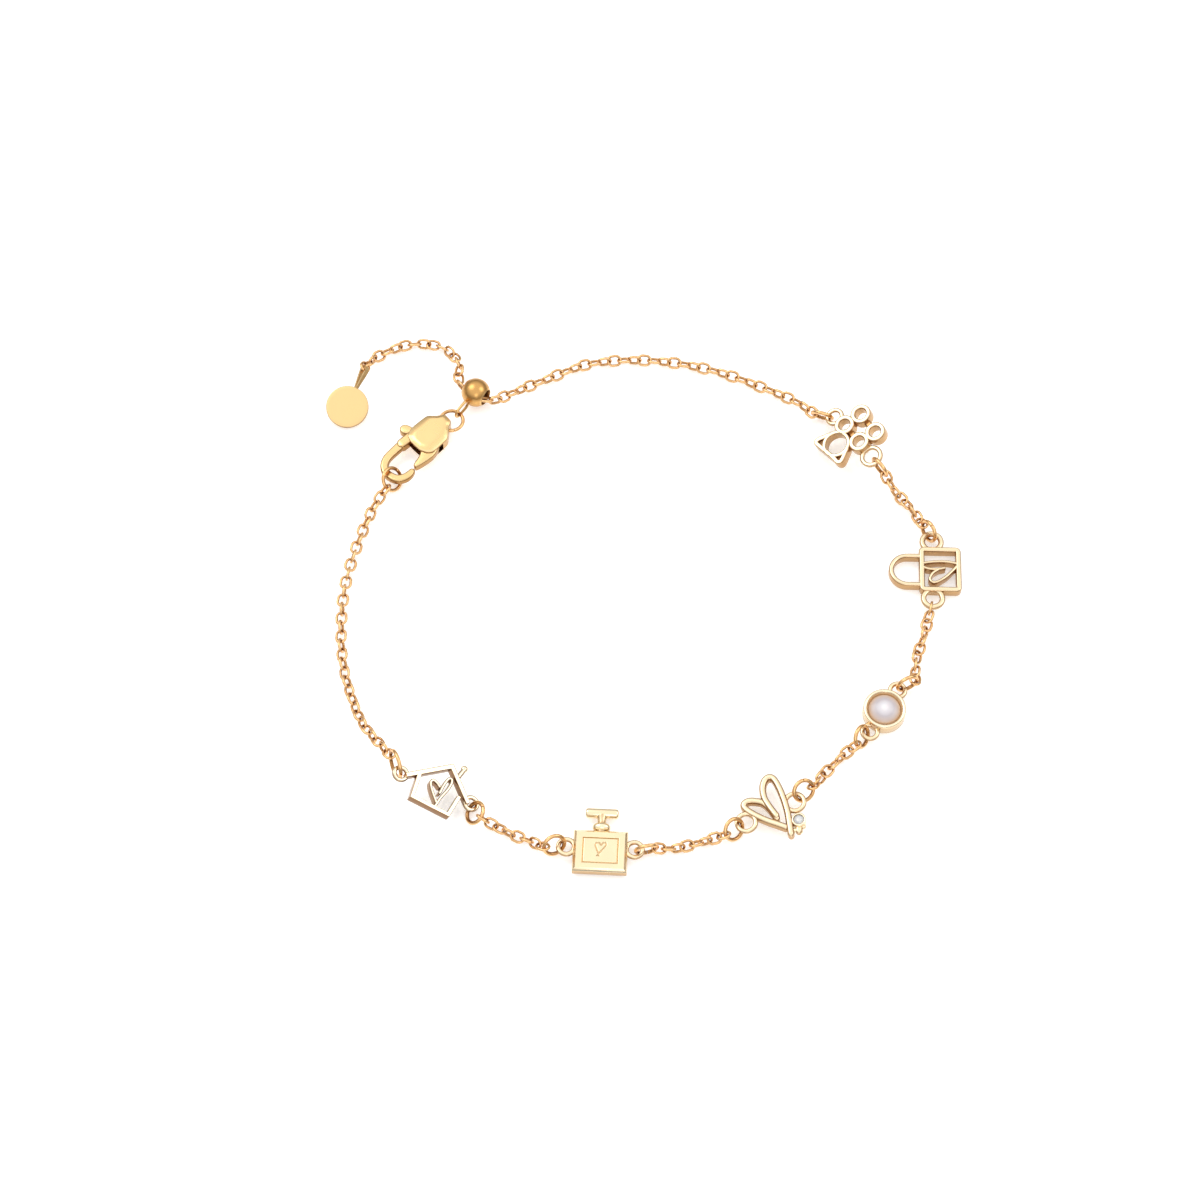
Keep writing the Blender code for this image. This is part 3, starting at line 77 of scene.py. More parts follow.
def smooth(points, per_span):
    """A curve through the points: each span is a cubic whose slope at a point is
    half the way from the point before it to the point after it."""
    knots = np.array(points, float)
    ends = np.vstack([2 * knots[0] - knots[1], knots, 2 * knots[-1] - knots[-2]])
    t = np.linspace(0.0, 1.0, per_span, endpoint=False)[None, :, None]
    p, a, b, q = (ends[k:len(ends) - 3 + k, None] for k in range(4))
    spans = 0.5 * (2 * a + (b - p) * t + (2 * p - 5 * a + 4 * b - q) * t ** 2
                   + (3 * a - p - 3 * b + q) * t ** 3)
    return np.vstack([spans.reshape(-1, knots.shape[1]), knots[-1:]])


def unit(vectors):
    """The vectors, each divided by its length."""
    return vectors / np.linalg.norm(vectors, axis=-1, keepdims=True)


def wire_round(centre_line, inwards, normal, wire, around):
    """A closed wire: each point of its centre line is the middle of a circle that
    lies across the line, spanned by the inward direction and the ring's normal.
    The second result is how far each point of the circle faces inwards, 0 to 1."""
    turns = np.linspace(0.0, 2 * math.pi, around, endpoint=False)
    rows = (centre_line[:, None] + inwards[:, None] * (np.cos(turns) * wire / 2)[None, :, None]
            + normal * (np.sin(turns) * wire / 2)[None, :, None])
    inside = np.clip(np.cos(turns), 0.0, 1.0)[None, :] * np.ones((len(centre_line), 1))
    return rows, inside


def surface(rows, edge=0.0, deep=0.0, loop=True, capped=False, whole=False, flat=False):
    """A grid of points with its masks, one of wear and painted highlight and one of painted
    shade: rows join up end to end if it is a loop, and are closed at either end by a fan
    if it is capped, or by one face if whole."""
    shape = rows.shape[:2]
    return {"rows": rows, "edge": np.broadcast_to(edge, shape), "deep": np.broadcast_to(deep, shape),
            "loop": loop, "capped": capped, "whole": whole, "flat": flat}


def make_piece(name, points, faces, masks, material, matrix, body, nodes, sharp, rounded=True):
    """One object of points and faces, with each mask kept on its points. It rides on
    a body, and stands for the CAD nodes that are named."""
    mesh = bpy.data.meshes.new(name)
    mesh.from_pydata(points.tolist(), [], faces)
    for mask, values in masks.items():
        kept = mesh.attributes.new(mask, "FLOAT", "POINT")
        kept.data.foreach_set("value", values.astype(np.float32))
    if matrix is not None:
        mesh.transform(matrix)
    mesh.update()
    if rounded:
        mesh.shade_smooth()
    if sharp:
        mesh.set_sharp_from_angle(angle=math.radians(sharp))
    mesh.materials.append(material)
    piece = bpy.data.objects.new(name, mesh)
    bpy.context.scene.collection.objects.link(piece)
    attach(piece, body)
    if nodes:
        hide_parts(*nodes)


def put(name, surfaces, material, matrix=None, body="bracelet", nodes=(), sharp=None):
    """Make one piece of several closed grids. A grid's faces are its cells, turned
    the other way where the grid's volume, the sum of its cells' triple products,
    comes out negative."""
    points, edges, painted_shades, faces, first = [], [], [], [], 0
    for s in surfaces:
        rows, edge, deep = s["rows"], s["edge"].reshape(-1), s["deep"].reshape(-1)
        n, m = rows.shape[:2]
        index = np.arange(n * m).reshape(n, m)
        low = index if s["loop"] else index[:-1]
        high = np.roll(index, -1, 0) if s["loop"] else index[1:]
        quads = np.stack([low, np.roll(low, -1, 1), np.roll(high, -1, 1), high], -1).reshape(-1, 4)
        co, tris, lids = rows.reshape(-1, 3), np.zeros((0, 3), int), np.zeros((0, m), int)
        if s["capped"]:
            ring = np.arange(m)
            after = np.roll(ring, -1)
            foot = np.stack([np.full(m, n * m), after, ring], -1)
            head = np.stack([np.full(m, n * m + 1), (n - 1) * m + ring, (n - 1) * m + after], -1)
            tris = np.vstack([foot, head])
            co = np.vstack([co, rows[0].mean(0), rows[-1].mean(0)])
            edge = np.append(edge, [s["edge"][0].mean(), s["edge"][-1].mean()])
            deep = np.append(deep, [s["deep"][0].mean(), s["deep"][-1].mean()])
        a, b, c, d = (co[quads[:, k]] - co.mean(0) for k in range(4))
        volume = np.einsum("ij,ij->", a, np.cross(b, c)) + np.einsum("ij,ij->", a, np.cross(c, d))
        if s["whole"]:
            lids = np.stack([np.arange(m)[::-1], (n - 1) * m + np.arange(m)])
        if volume < 0:
            quads, tris, lids = quads[:, ::-1], tris[:, ::-1], lids[:, ::-1]
        faces += (quads + first).tolist() + (tris + first).tolist() + (lids + first).tolist()
        points.append(co)
        edges.append(edge)
        painted_shades.append(deep)
        first += len(co)
    # The two masks kept on the points: wear with painted highlight, and painted shade.
    masks = {"edge": np.concatenate(edges), "deep": np.concatenate(painted_shades)}
    make_piece(name, np.vstack(points), faces, masks, material, matrix, body, nodes, sharp,
               rounded=not surfaces[0]["flat"])


# The surface of a gilt piece: tumbled smooth, with a faint ripple, lighter along its
# edges, where wear and a painted highlight are mixed in, and browner on its sides and
# in its hollows, where shade is painted in.
gilt = bpy.data.node_groups.new("gilt", "ShaderNodeTree")
for label, kind, way in (("Tint", "Color", "INPUT"), ("Rubbed", "Color", "INPUT"),
                         ("Recess", "Color", "INPUT"), ("Grain size", "Float", "INPUT"),
                         ("Smoothest", "Float", "INPUT"), ("Roughest", "Float", "INPUT"),
                         ("Ripple", "Float", "INPUT"), ("Color", "Color", "OUTPUT"),
                         ("Roughness", "Float", "OUTPUT"), ("Normal", "Vector", "OUTPUT")):
    gilt.interface.new_socket(label, in_out=way, socket_type="NodeSocket" + kind)
tree = gilt.nodes
given, result = tree.new("NodeGroupInput"), tree.new("NodeGroupOutput")
where = tree.new("ShaderNodeTexCoord")
patches, grain = tree.new("ShaderNodeTexNoise"), tree.new("ShaderNodeTexNoise")
# Two masks kept on the points: one along the edges, of wear and a painted highlight, and one on the sides and
# in the hollows, of painted shade.
wear_highlight_mask, painted_shade_mask = tree.new("ShaderNodeAttribute"), tree.new("ShaderNodeAttribute")
wear_highlight_mask.attribute_name, painted_shade_mask.attribute_name = "edge", "deep"
broken = tree.new("ShaderNodeMath")
broken.operation = "MULTIPLY"
# The colour is the tint, lightened towards the colour of wear and painted highlight where the edge mask,
# broken up by the patches, is high, then darkened towards the painted shade colour on the sides and in the
# hollows.
wear_highlight_mix, shade_painted_mix = tree.new("ShaderNodeMix"), tree.new("ShaderNodeMix")
wear_highlight_mix.data_type = shade_painted_mix.data_type = "RGBA"
rough = tree.new("ShaderNodeMapRange")
bump = tree.new("ShaderNodeBump")
for node, label, value in ((patches, "Scale", 420.0), (patches, "Detail", 3.0), (grain, "Detail", 5.0),
                           (rough, "From Min", 0.35), (rough, "From Max", 0.65), (bump, "Distance", 0.00002)):
    node.inputs[label].default_value = value
for source, out, target, into in (
        (where, "Object", patches, "Vector"), (where, "Object", grain, "Vector"),
        (given, "Grain size", grain, "Scale"), (wear_highlight_mask, "Fac", broken, 0), (patches, "Fac", broken, 1),
        (broken, 0, wear_highlight_mix, "Factor"), (given, "Tint", wear_highlight_mix, "A"), (given, "Rubbed", wear_highlight_mix, "B"),
        (painted_shade_mask, "Fac", shade_painted_mix, "Factor"), (wear_highlight_mix, "Result", shade_painted_mix, "A"), (given, "Recess", shade_painted_mix, "B"),
        (shade_painted_mix, "Result", result, "Color"), (patches, "Fac", rough, "Value"),
        (given, "Smoothest", rough, "To Min"), (given, "Roughest", rough, "To Max"),
        (rough, "Result", result, "Roughness"), (grain, "Fac", bump, "Height"),
        (given, "Ripple", bump, "Strength"), (bump, "Normal", result, "Normal")):
    gilt.links.new(source.outputs[out], target.inputs[into])


def finished(name, values):
    """A new material, its shader set to these values, and the shader."""
    made = bpy.data.materials.new(name)
    made.use_nodes = True
    shader = made.node_tree.nodes["Principled BSDF"]
    for label, value in values.items():
        shader.inputs[label].default_value = value
    return made, shader


def gilded(name, tint, wear_highlight_colour, painted_shade_colour, grain_size, smoothest, roughest, ripple):
    """A metal with the gilt surface in its own colours: a tint, a colour of wear and
    painted highlight for the edges, and a colour of painted shade for the sides and hollows.
    """
    made, shader = finished(name, {"Metallic": 1.0})
    skin = made.node_tree.nodes.new("ShaderNodeGroup")
    skin.node_tree = gilt
    values = ((*tint, 1.0), (*wear_highlight_colour, 1.0), (*painted_shade_colour, 1.0), grain_size, smoothest, roughest, ripple)
    for given_value, value in zip(skin.inputs, values):
        given_value.default_value = value
    for out, into in (("Color", "Base Color"), ("Roughness", "Roughness"), ("Normal", "Normal")):
        made.node_tree.links.new(skin.outputs[out], shader.inputs[into])
    return made


# Rose gilt: the tint, a lighter colour of wear and painted highlight, and a dark brown of painted shade.
chain_gold = gilded("rose_gilt", (0.78, 0.43, 0.17), (0.94, 0.63, 0.33), (0.19, 0.065, 0.016),
                    2600.0, 0.18, 0.30, 0.10)


def links_along(points, first_roll, roll_step, count=None):
    """Links threaded along a curve at even steps. Each is an oval ring: a circle
    pulled apart along the chain, turned about the chain by its own roll."""
    route = smooth(np.array(points) * MM, 24)
    steps = np.concatenate([[0.0], np.cumsum(np.linalg.norm(np.diff(route, axis=0), axis=1))])
    half = (LINK_LONG - LINK_WIRE) / 2
    run = steps[-1] - 2 * half
    count = count or math.ceil(run / LINK_PITCH - 0.02) + 1
    places = half + np.linspace(0.0, run, count)
    centres = np.stack([np.interp(places, steps, route[:, k]) for k in range(3)], 1)
    ways = unit(np.gradient(centres, axis=0))
    sides = unit(np.cross((0.0, 0.0, 1.0), ways))
    ups = np.cross(ways, sides)
    rolls = np.radians(first_roll + roll_step * np.arange(count))[:, None]
    normals = ups * np.cos(rolls) + sides * np.sin(rolls)
    spread = np.cross(normals, ways)
    turns = (np.arange(LINK_SIDES) + 0.5) * 2 * math.pi / LINK_SIDES
    radius = (LINK_WIDE - LINK_WIRE) / 2
    out = np.stack([np.cos(turns), np.sin(turns), 0 * turns], 1)
    line = out * radius
    line[:, 0] += np.sign(out[:, 0]) * (LINK_LONG - LINK_WIDE) / 2
    rows, inside = wire_round(line, -out, np.array((0.0, 0.0, 1.0)), LINK_WIRE, LINK_AROUND)
    # Painted shade on the inside of each link's wire, most at the link's ends where the next link threads
    # through; wear and a painted highlight on its outside.
    deep = inside * (0.55 + 0.45 * out[:, 0:1] ** 2)
    return [surface(centre + rows @ np.stack([way, across, normal]), 1.0 - inside, deep)
            for centre, way, across, normal in zip(centres, ways, spread, normals)]


for strand, row in STRANDS.items():
    put(strand + "_links", links_along(*row), chain_gold, nodes=[strand])

# Jump rings
# Rings of round wire, bent round a rod and pushed shut, so the two cut ends meet
# in a hair line. Each holds a strand's last link to a charm's eye; the one at the
# house is larger, and the lobster clasp's two are of thinner wire.
RINGS = {"house_ring_left": (3.55, 0.45)}
RINGS.update(dict.fromkeys(
    ("house_ring_right", "bottle_ring_left", "bottle_ring_right", "heart_ring_left", "heart_ring_right",
     "pearl_ring_left", "pearl_ring_right", "padlock_ring", "cluster_ring_right", "cluster_ring_left"),
    (2.85, 0.46)))
RINGS.update({"hook_ring": (3.05, 0.42), "clasp_ring": (3.15, 0.42)})
RING_CUT = 0.03 * MM


def ring_matrix(node):
    """A ring's place: the middle of its solid's points, and as its axis the
    direction in which they spread least."""
    points = np.array([v.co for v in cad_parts[node].data.vertices])
    points = np.unique(points.round(7), axis=0)
    centre = points.mean(0)
    along, across, axis = np.linalg.svd(points - centre, full_matrices=False)[2]
    facing = Matrix((along, across, np.cross(along, across))).transposed().to_4x4()
    return Matrix.Translation(centre) @ facing


def cut_ring(outer, wire_size, sides=56, around=14):
    """A ring of round wire with a hair gap: a circle carried along a circle that
    stops just short of itself, its last row drawn in a little at either end."""
    radius = (outer - wire_size) / 2
    gap = RING_CUT / radius
    turns = np.linspace(gap / 2, 2 * math.pi - gap / 2, sides)
    turns = np.concatenate([turns[:1], turns[:1] + gap / 2, turns[1:-1], turns[-1:] - gap / 2, turns[-1:]])
    out = np.stack([np.cos(turns), np.sin(turns), 0 * turns], 1)
    rows, inside = wire_round(out * radius, -out, np.array((0.0, 0.0, 1.0)), wire_size, around)
    for end in (0, -1):
        rows[end] = rows[end].mean(0) + (rows[end] - rows[end].mean(0)) * 0.86
    # Wear and a painted highlight on the outside of the wire, painted shade on its inside.
    return surface(rows, (1.0 - inside) * 0.8, inside * 0.7, loop=False, capped=True)


for node, (outer, wire_size) in RINGS.items():
    put(node + "_wire", [cut_ring(outer * MM, wire_size * MM)], chain_gold, ring_matrix(node),
        nodes=[node])

# Lobster clasp
# Cast in yellow gold and polished: a domed body with soft facets, hollow in the
# middle for the lever, and a hook that curls back to the lever's tip. The body's
# tail holds a flat ring.
CLASP_LONG, CLASP_THICK = 10.70 * MM, 2.00 * MM
CLASP_PLACE = ((-25.93, 19.555, 1.22), (0.0, 0.0, -138.0))
LEVER_ROOM = 0.595 * MM
CLASP_BODY = ((-0.470, -0.105), (-0.392, -0.145), (-0.308, -0.225), (-0.084, -0.218), (0.020, -0.172),
    (0.045, -0.085), (0.040, 0.060), (0.000, 0.140), (-0.060, 0.182), (-0.280, 0.160), (-0.350, 0.098),
    (-0.405, 0.045), (-0.462, 0.012))
CLASP_SPINE = ((-0.330, -0.045), (-0.085, -0.020))
CLASP_TAIL = -0.262
# The hook's middle line, then its width there
CLASP_HOOK = ((-0.060, -0.155, 0.100), (0.100, -0.149, 0.104), (0.240, -0.138, 0.098),
    (0.360, -0.118, 0.094), (0.440, -0.064, 0.092), (0.478, 0.010, 0.090), (0.470, 0.090, 0.092),
    (0.432, 0.160, 0.094), (0.362, 0.196, 0.092), (0.300, 0.198, 0.084), (0.262, 0.190, 0.070))
SHELL_WALL, SHELL_LEVEL = 0.70 * MM, 0.55
HOOK_THICK, SHOULDER_THICK = 0.90 * MM, 1.35 * MM
# Yellow gilt: the tint, a lighter colour of wear and painted highlight, and a brown of painted shade.
clasp_gold = gilded("yellow_gilt", (0.90, 0.62, 0.29), (0.98, 0.80, 0.48), (0.36, 0.17, 0.045),
                    700.0, 0.22, 0.31, 0.10)


def rounded_section(steps=4, across=5):
    """The parts of a bar's section, counterclockwise: flats of a few points, joined
    by quarter circles. A point lies at its signs times the half sizes less the
    rounding, plus its ways times the rounding. The third result is 1 in the middle
    of each rounding, and the fourth how far the bar's skin there faces sideways:
    the masks of wear with painted highlight and of painted shade."""
    signs, ways, edge, side = [], [], [], []
    for x, y, start in ((1, -1, -90), (1, 1, 0), (-1, 1, 90), (-1, -1, 180)):
        turns = np.radians(start + np.linspace(0.0, 90.0, steps + 1))
        signs.append(np.full((steps + 1, 2), (x, y), float))
        ways.append(np.stack([np.cos(turns), np.sin(turns)], 1))
        edge.append(np.sin(2 * np.linspace(0.0, math.pi / 2, steps + 1)))
        side.append(np.clip(1.5 * np.abs(np.cos(turns)) - 0.25, 0.0, 1.0))
        if start in (0, 180):
            share = np.linspace(0.0, 1.0, across + 2)[1:-1]
            signs.append(np.stack([x * (1 - 2 * share), np.full(across, y)], 1))
            ways.append(np.full((across, 2), (0.0, y)))
            edge.append(np.zeros(across))
            side.append(np.zeros(across))
    return np.vstack(signs), np.vstack(ways), np.concatenate(edge), np.concatenate(side)


def rounded_rectangle(wide, thick, rounding, steps=4, across=5):
    """One such section of a given size, with its two masks."""
    signs, ways, edge, side = rounded_section(steps, across)
    return signs * (np.array((wide, thick)) / 2 - rounding) + ways * rounding, edge, side


def bar_along(path, widths, thick, rounding, round_ends=True, closed=False, z=0.0, end_steps=5):
    """A flat bar in the XY plane: a rounded rectangle carried along a path, its
    width given at each point. At a round end the last rows go on by half a width
    while their width falls off as a circle does."""
    widths = np.broadcast_to(np.array(widths, float), (len(path),))
    along = unit(np.roll(path, -1, 0) - np.roll(path, 1, 0) if closed else np.gradient(path, axis=0))
    side = np.stack([-along[:, 1], along[:, 0]], 1)
    signs, ways, edge, sides = rounded_section()
    rows_at, rows_side, rows_wide, rows_tall = path, side, widths, np.full(len(path), thick)
    if not closed and round_ends:
        turns = np.radians(np.linspace(90.0, 0.0, end_steps, endpoint=False))
        drop = 1.0 - rounding / thick * 1.6 * (1.0 - np.cos(turns))
        head = path[:1] - along[:1] * widths[0] / 2 * np.sin(turns)[:, None]
        foot = (path[-1:] + along[-1:] * widths[-1] / 2 * np.sin(turns)[:, None])[::-1]
        shrink = np.maximum(np.cos(turns), 0.04)
        rows_at = np.vstack([head, path, foot])
        rows_side = np.vstack([np.repeat(side[:1], end_steps, 0), side, np.repeat(side[-1:], end_steps, 0)])
        rows_wide = np.concatenate([widths[0] * shrink, widths, (widths[-1] * shrink)[::-1]])
        rows_tall = np.concatenate([thick * drop, rows_tall, (thick * drop)[::-1]])
    size = np.stack([rows_wide, rows_tall], 1)[:, None]
    fit = np.minimum(rounding, 0.49 * size.min(2, keepdims=True))
    shape = signs * (size / 2 - fit) + ways * fit
    rows = np.concatenate([rows_at[:, None] + rows_side[:, None] * shape[:, :, :1], shape[:, :, 1:] + z], 2)
    # Wear and a painted highlight along the bar's rounded edges, painted shade on its sides.
    return surface(rows, edge, sides * 0.9, loop=closed, capped=not closed)


def scaled(points, size):
    """Points that are given as shares of a size."""
    return np.array(points) * size


def place(at, leaning):
    """Where a piece lies: its middle in mm and its turns about X, Y and Z."""
    lean = Euler([math.radians(a) for a in leaning]).to_matrix().to_4x4()
    return Matrix.Translation(Vector(at) * MM) @ lean


def soften(outline, times, cut=0.25):
    """Cut each corner of a closed outline a share of the way along its sides, then
    the new corners a quarter of the way, so that it turns in soft facets."""
    for _ in range(times):
        after = np.roll(outline, -1, 0)
        pairs = np.stack([(1 - cut) * outline + cut * after, cut * outline + (1 - cut) * after], 1)
        outline = pairs.reshape(-1, 2)
        cut = 0.25
    return outline


def raised(flat, heights):
    """Rows of flat points, each row at its own height."""
    return np.concatenate([flat, np.broadcast_to(heights[:, None, None], flat.shape[:2] + (1,))], 2)


def domed_shell(outline, spine, inner, wall, top, plateau):
    """Half of a domed body. Seen from above its rows run from the outline in to the
    nearest point of a short spine; their height goes up the wall, then rises as one
    less a power of the way in, and is level over the plateau."""
    a, b = spine
    share = np.clip(((outline - a) @ (b - a)) / ((b - a) @ (b - a)), 0.0, 1.0)[:, None]
    near = a + (b - a) * share
    ways = np.array([0.0, 1.0, 1.0, 1.0, 0.985, 0.96, 0.92, 0.86, 0.79, 0.71, 0.62, 0.52, 0.41, 0.28,
                     0.14, 0.02])
    bevel = np.clip((ways[4:] - plateau) / (1.0 - plateau), 0.0, 1.0)
    heights = np.concatenate([[inner, inner, (inner + wall) / 2, wall - 0.06 * MM],
                              top - (top - wall) * bevel ** 1.35])
    rows = raised(near[None] + (outline - near)[None] * ways[:, None, None], heights)
    # Wear and a painted highlight near the dome's outer edge; painted shade on the wall, fading out as the
    # dome begins.
    edge = np.exp(-((ways - 0.93) / 0.05) ** 2)[:, None]
    wall_shade = np.zeros((len(ways), 1))
    wall_shade[:6, 0] = (0.8, 0.8, 0.7, 0.6, 0.45, 0.25)
    return surface(rows, edge, wall_shade, loop=False, capped=True)


clasp_at = place(*CLASP_PLACE)
shape = soften(scaled(CLASP_BODY, CLASP_LONG), 3, 0.13)
spine = scaled(CLASP_SPINE, CLASP_LONG)
upper = domed_shell(shape, spine, LEVER_ROOM, SHELL_WALL, CLASP_THICK / 2, SHELL_LEVEL)
lower = {**upper, "rows": upper["rows"] * (1, 1, -1)}
tail = shape.copy()
limit = CLASP_TAIL + 0.35 * np.clip(tail[:, 1] / CLASP_LONG, 0.0, 0.17)
tail[:, 0] = np.minimum(tail[:, 0], limit * CLASP_LONG)
core_rows = raised(np.stack([tail, tail]) * 0.999, np.array((-1.0, 1.0)) * LEVER_ROOM * 1.05)
# The inside of the lever's slot gets painted shade.
core = surface(core_rows, deep=0.55, loop=False, whole=True)
hook_line = smooth(scaled(CLASP_HOOK, CLASP_LONG), 8)
hook = bar_along(hook_line[:, :2], hook_line[:, 2], HOOK_THICK, 0.26 * MM)
shoulder = bar_along(scaled(((-0.060, -0.150), (0.115, -0.146)), CLASP_LONG), 0.116 * CLASP_LONG,
                     SHOULDER_THICK, 0.30 * MM)
put("clasp_shell", [upper, lower, core, hook, shoulder], clasp_gold, clasp_at,
    nodes=["clasp_body"], sharp=50)

# Clasp lever
# A flat cast lever on a pin through the body. Its one end is the gate that shuts
# the hook, and its other the small round thumb tab; a spring in the body closes it.
LEVER_THICK = 1.10 * MM
LEVER = ((0.206, 0.138), (0.210, 0.190), (0.150, 0.204), (0.050, 0.212), (-0.047, 0.212), (-0.180, 0.158),
    (-0.236, 0.045), (-0.216, -0.050), (-0.105, -0.170), (-0.098, -0.262), (-0.058, -0.322), (0.003, -0.324),
    (0.035, -0.280), (0.025, -0.225), (-0.025, -0.185), (-0.040, -0.080), (0.000, 0.030), (0.060, 0.098))


def plate(outline, thick, rounding, steps=5):
    """A flat piece with rounded edges: its outline, drawn in along its own normals
    as a quarter circle falls away, at the bottom and again at the top."""
    along = unit(np.roll(outline, -1, 0) - np.roll(outline, 1, 0))
    out = np.stack([along[:, 1], -along[:, 0]], 1)
    if np.cross(outline, np.roll(outline, -1, 0)).sum() < 0:
        out = -out
    turns = np.linspace(-math.pi / 2, math.pi / 2, 2 * steps)
    inset = rounding * (1.0 - np.cos(turns))
    height = np.sign(turns) * (thick / 2 - rounding) + rounding * np.sin(turns)
    rows = raised(outline[None] - out[None] * inset[:, None, None], height)
    # Wear and a painted highlight along the rounded edges, painted shade on the side.
    edge = np.sin(2 * np.abs(turns))[:, None]
    side = np.clip(1.3 * np.cos(turns) - 0.3, 0.0, 1.0)[:, None]
    return surface(rows, edge, side * 0.8, loop=False, whole=True)


gate = plate(soften(scaled(LEVER, CLASP_LONG), 2), LEVER_THICK, 0.24 * MM)
put("clasp_gate", [gate], clasp_gold, clasp_at, body="lever", nodes=["clasp_lever"])

# Ball bead
# A hollow gold ball that slides on the chain, with a soft rubber ring inside that
# grips it. A wire eye soldered to its side takes the clasp's ring.
BEAD_PLACE = ((-19.351, 26.868, 1.72), (0.0, 7.65, -128.0))
BEAD_RADIUS, BEAD_BORE = 1.70 * MM, 0.95 * MM
BEAD_EYE_LONG, BEAD_EYE_WIDE, BEAD_EYE_WIRE, BEAD_EYE_AT = 2.60 * MM, 1.80 * MM, 0.34 * MM, 2.626 * MM
# Satin gilt: the tint, a lighter colour of wear and painted highlight, and a dark brown of painted shade.
bead_gold = gilded("satin_gilt", (0.64, 0.36, 0.12), (0.90, 0.62, 0.30), (0.16, 0.06, 0.015),
                   1500.0, 0.25, 0.36, 0.16)


def turned(profile, sides, edge=0.0, deep=0.0, loop=False):
    """A profile of radius and height, carried round the Z axis. A closed profile
    makes a ring, and an open one starts and ends on the axis."""
    turns = np.linspace(0.0, 2 * math.pi, sides, endpoint=False)
    rows = np.stack([profile[:, 0:1] * np.cos(turns), profile[:, 0:1] * np.sin(turns),
                     np.broadcast_to(profile[:, 1:2], (len(profile), sides))], 2)
    return surface(rows, np.reshape(edge, (-1, 1)), np.reshape(deep, (-1, 1)), loop=loop, capped=not loop)


def oval_eye(long, wide, wire_size):
    """A wire eye in the XZ plane: a circle pulled apart along X."""
    turns = np.linspace(0.0, 2 * math.pi, 40, endpoint=False)
    out = np.stack([np.cos(turns), 0 * turns, np.sin(turns)], 1)
    line = out * (wide - wire_size) / 2
    line[:, 0] += np.clip(out[:, 0] * 3, -1, 1) * (long - wide) / 2
    rows, inside = wire_round(line, -out, np.array((0.0, 1.0, 0.0)), wire_size, 12)
    # Wear and a painted highlight on the outside of the wire, painted shade on its inside.
    return surface(rows, 1.0 - inside, inside * 0.6)


def shifted(part, by=(0.0, 0.0, 0.0), matrix=None):
    """The same grid, moved, or put through a matrix."""
    rows = part["rows"]
    if matrix is not None:
        turn = np.array(matrix)
        rows = rows @ turn[:3, :3].T + turn[:3, 3]
    return {**part, "rows": rows + np.array(by)}


mouth = math.asin(BEAD_BORE / BEAD_RADIUS)
arc = np.linspace(mouth + 0.09, math.pi - mouth - 0.09, 40)
shell = np.stack([BEAD_RADIUS * np.sin(arc), BEAD_RADIUS * np.cos(arc)], 1)
reach = BEAD_RADIUS * math.cos(mouth)
bore = np.array([(BEAD_BORE + 0.03 * MM, -reach), (BEAD_BORE - 0.02 * MM, -reach + 0.06 * MM),
                 (BEAD_BORE - 0.06 * MM, -reach / 2), (BEAD_BORE - 0.06 * MM, reach / 2),
                 (BEAD_BORE - 0.02 * MM, reach - 0.06 * MM), (BEAD_BORE + 0.03 * MM, reach)])
along_bore = Matrix.Rotation(math.radians(-83.0), 4, "Z") @ Matrix.Rotation(math.radians(90.0), 4, "Y")
# Wear and a painted highlight on the rims of the bore, painted shade inside it.
rim = np.concatenate([[1.0, 0.6], np.zeros(36), [0.6, 1.0], [0.6, 0.0, 0.0, 0.0, 0.0, 0.6]])
bore_shade = np.concatenate([np.zeros(40), [0.2, 0.6, 1.0, 1.0, 0.6, 0.2]])
ball = shifted(turned(np.vstack([shell, bore]), 56, rim, bore_shade, loop=True), matrix=along_bore)
bead_eye = shifted(oval_eye(BEAD_EYE_LONG, BEAD_EYE_WIDE, BEAD_EYE_WIRE), by=(BEAD_EYE_AT, 0.0, 0.0))
put("ball_bead", [ball, bead_eye], bead_gold, place(*BEAD_PLACE),
    nodes=["slider_bead"], sharp=60)

# Tag
# A plain round disc, stamped from sheet and brushed, hanging from a strap of gold
# that is folded over the chain's last link and soldered to the disc's edge.
TAG_PLACE = ((-34.55, 25.235, 1.11), (20.0, 0.0, 0.0))
TAG_RADIUS, TAG_THICK = 2.50 * MM, 0.50 * MM
BAIL_LONG, BAIL_DEEP, BAIL_WIDE, BAIL_STRAP = 3.20 * MM, 1.30 * MM, 0.46 * MM, 0.24 * MM
# Brushed gilt: the tint, a lighter colour of wear and painted highlight, and a brown of painted shade.
tag_gold = gilded("brushed_gilt", (0.84, 0.59, 0.28), (0.96, 0.78, 0.46), (0.34, 0.16, 0.05),
                  5200.0, 0.34, 0.46, 0.40)
# The disc's rounded rim gets wear and a painted highlight, its side painted shade.
disc_profile, disc_wear_highlight, disc_side_shade = rounded_rectangle(2 * TAG_RADIUS, TAG_THICK, 0.07 * MM, across=13)
right = disc_profile[:, 0] > 0.10 * MM
order = np.argsort(np.arctan2(disc_profile[right][:, 1] / TAG_THICK, disc_profile[right][:, 0] / TAG_RADIUS))
disc = turned(disc_profile[right][order], 96, disc_wear_highlight[right][order], disc_side_shade[right][order] * 0.8)
fold = BAIL_DEEP / 2 - BAIL_STRAP / 2
middle = BAIL_LONG - BAIL_DEEP / 2
bend = np.radians(np.linspace(-99.0, 99.0, 19))
strap = np.stack([middle + fold * np.cos(bend), fold * np.sin(bend)], 1)
strap = np.vstack([(0.1 * MM, -BAIL_STRAP / 2), strap, (0.1 * MM, BAIL_STRAP / 2)])
strap = smooth(strap, 3)
wide_at = BAIL_WIDE * (0.55 + 0.45 * np.clip(strap[:, 0] / (BAIL_LONG - BAIL_DEEP), 0.0, 1.0))
flat_strap = bar_along(strap, BAIL_STRAP, 1.0, 0.07 * MM, round_ends=False)
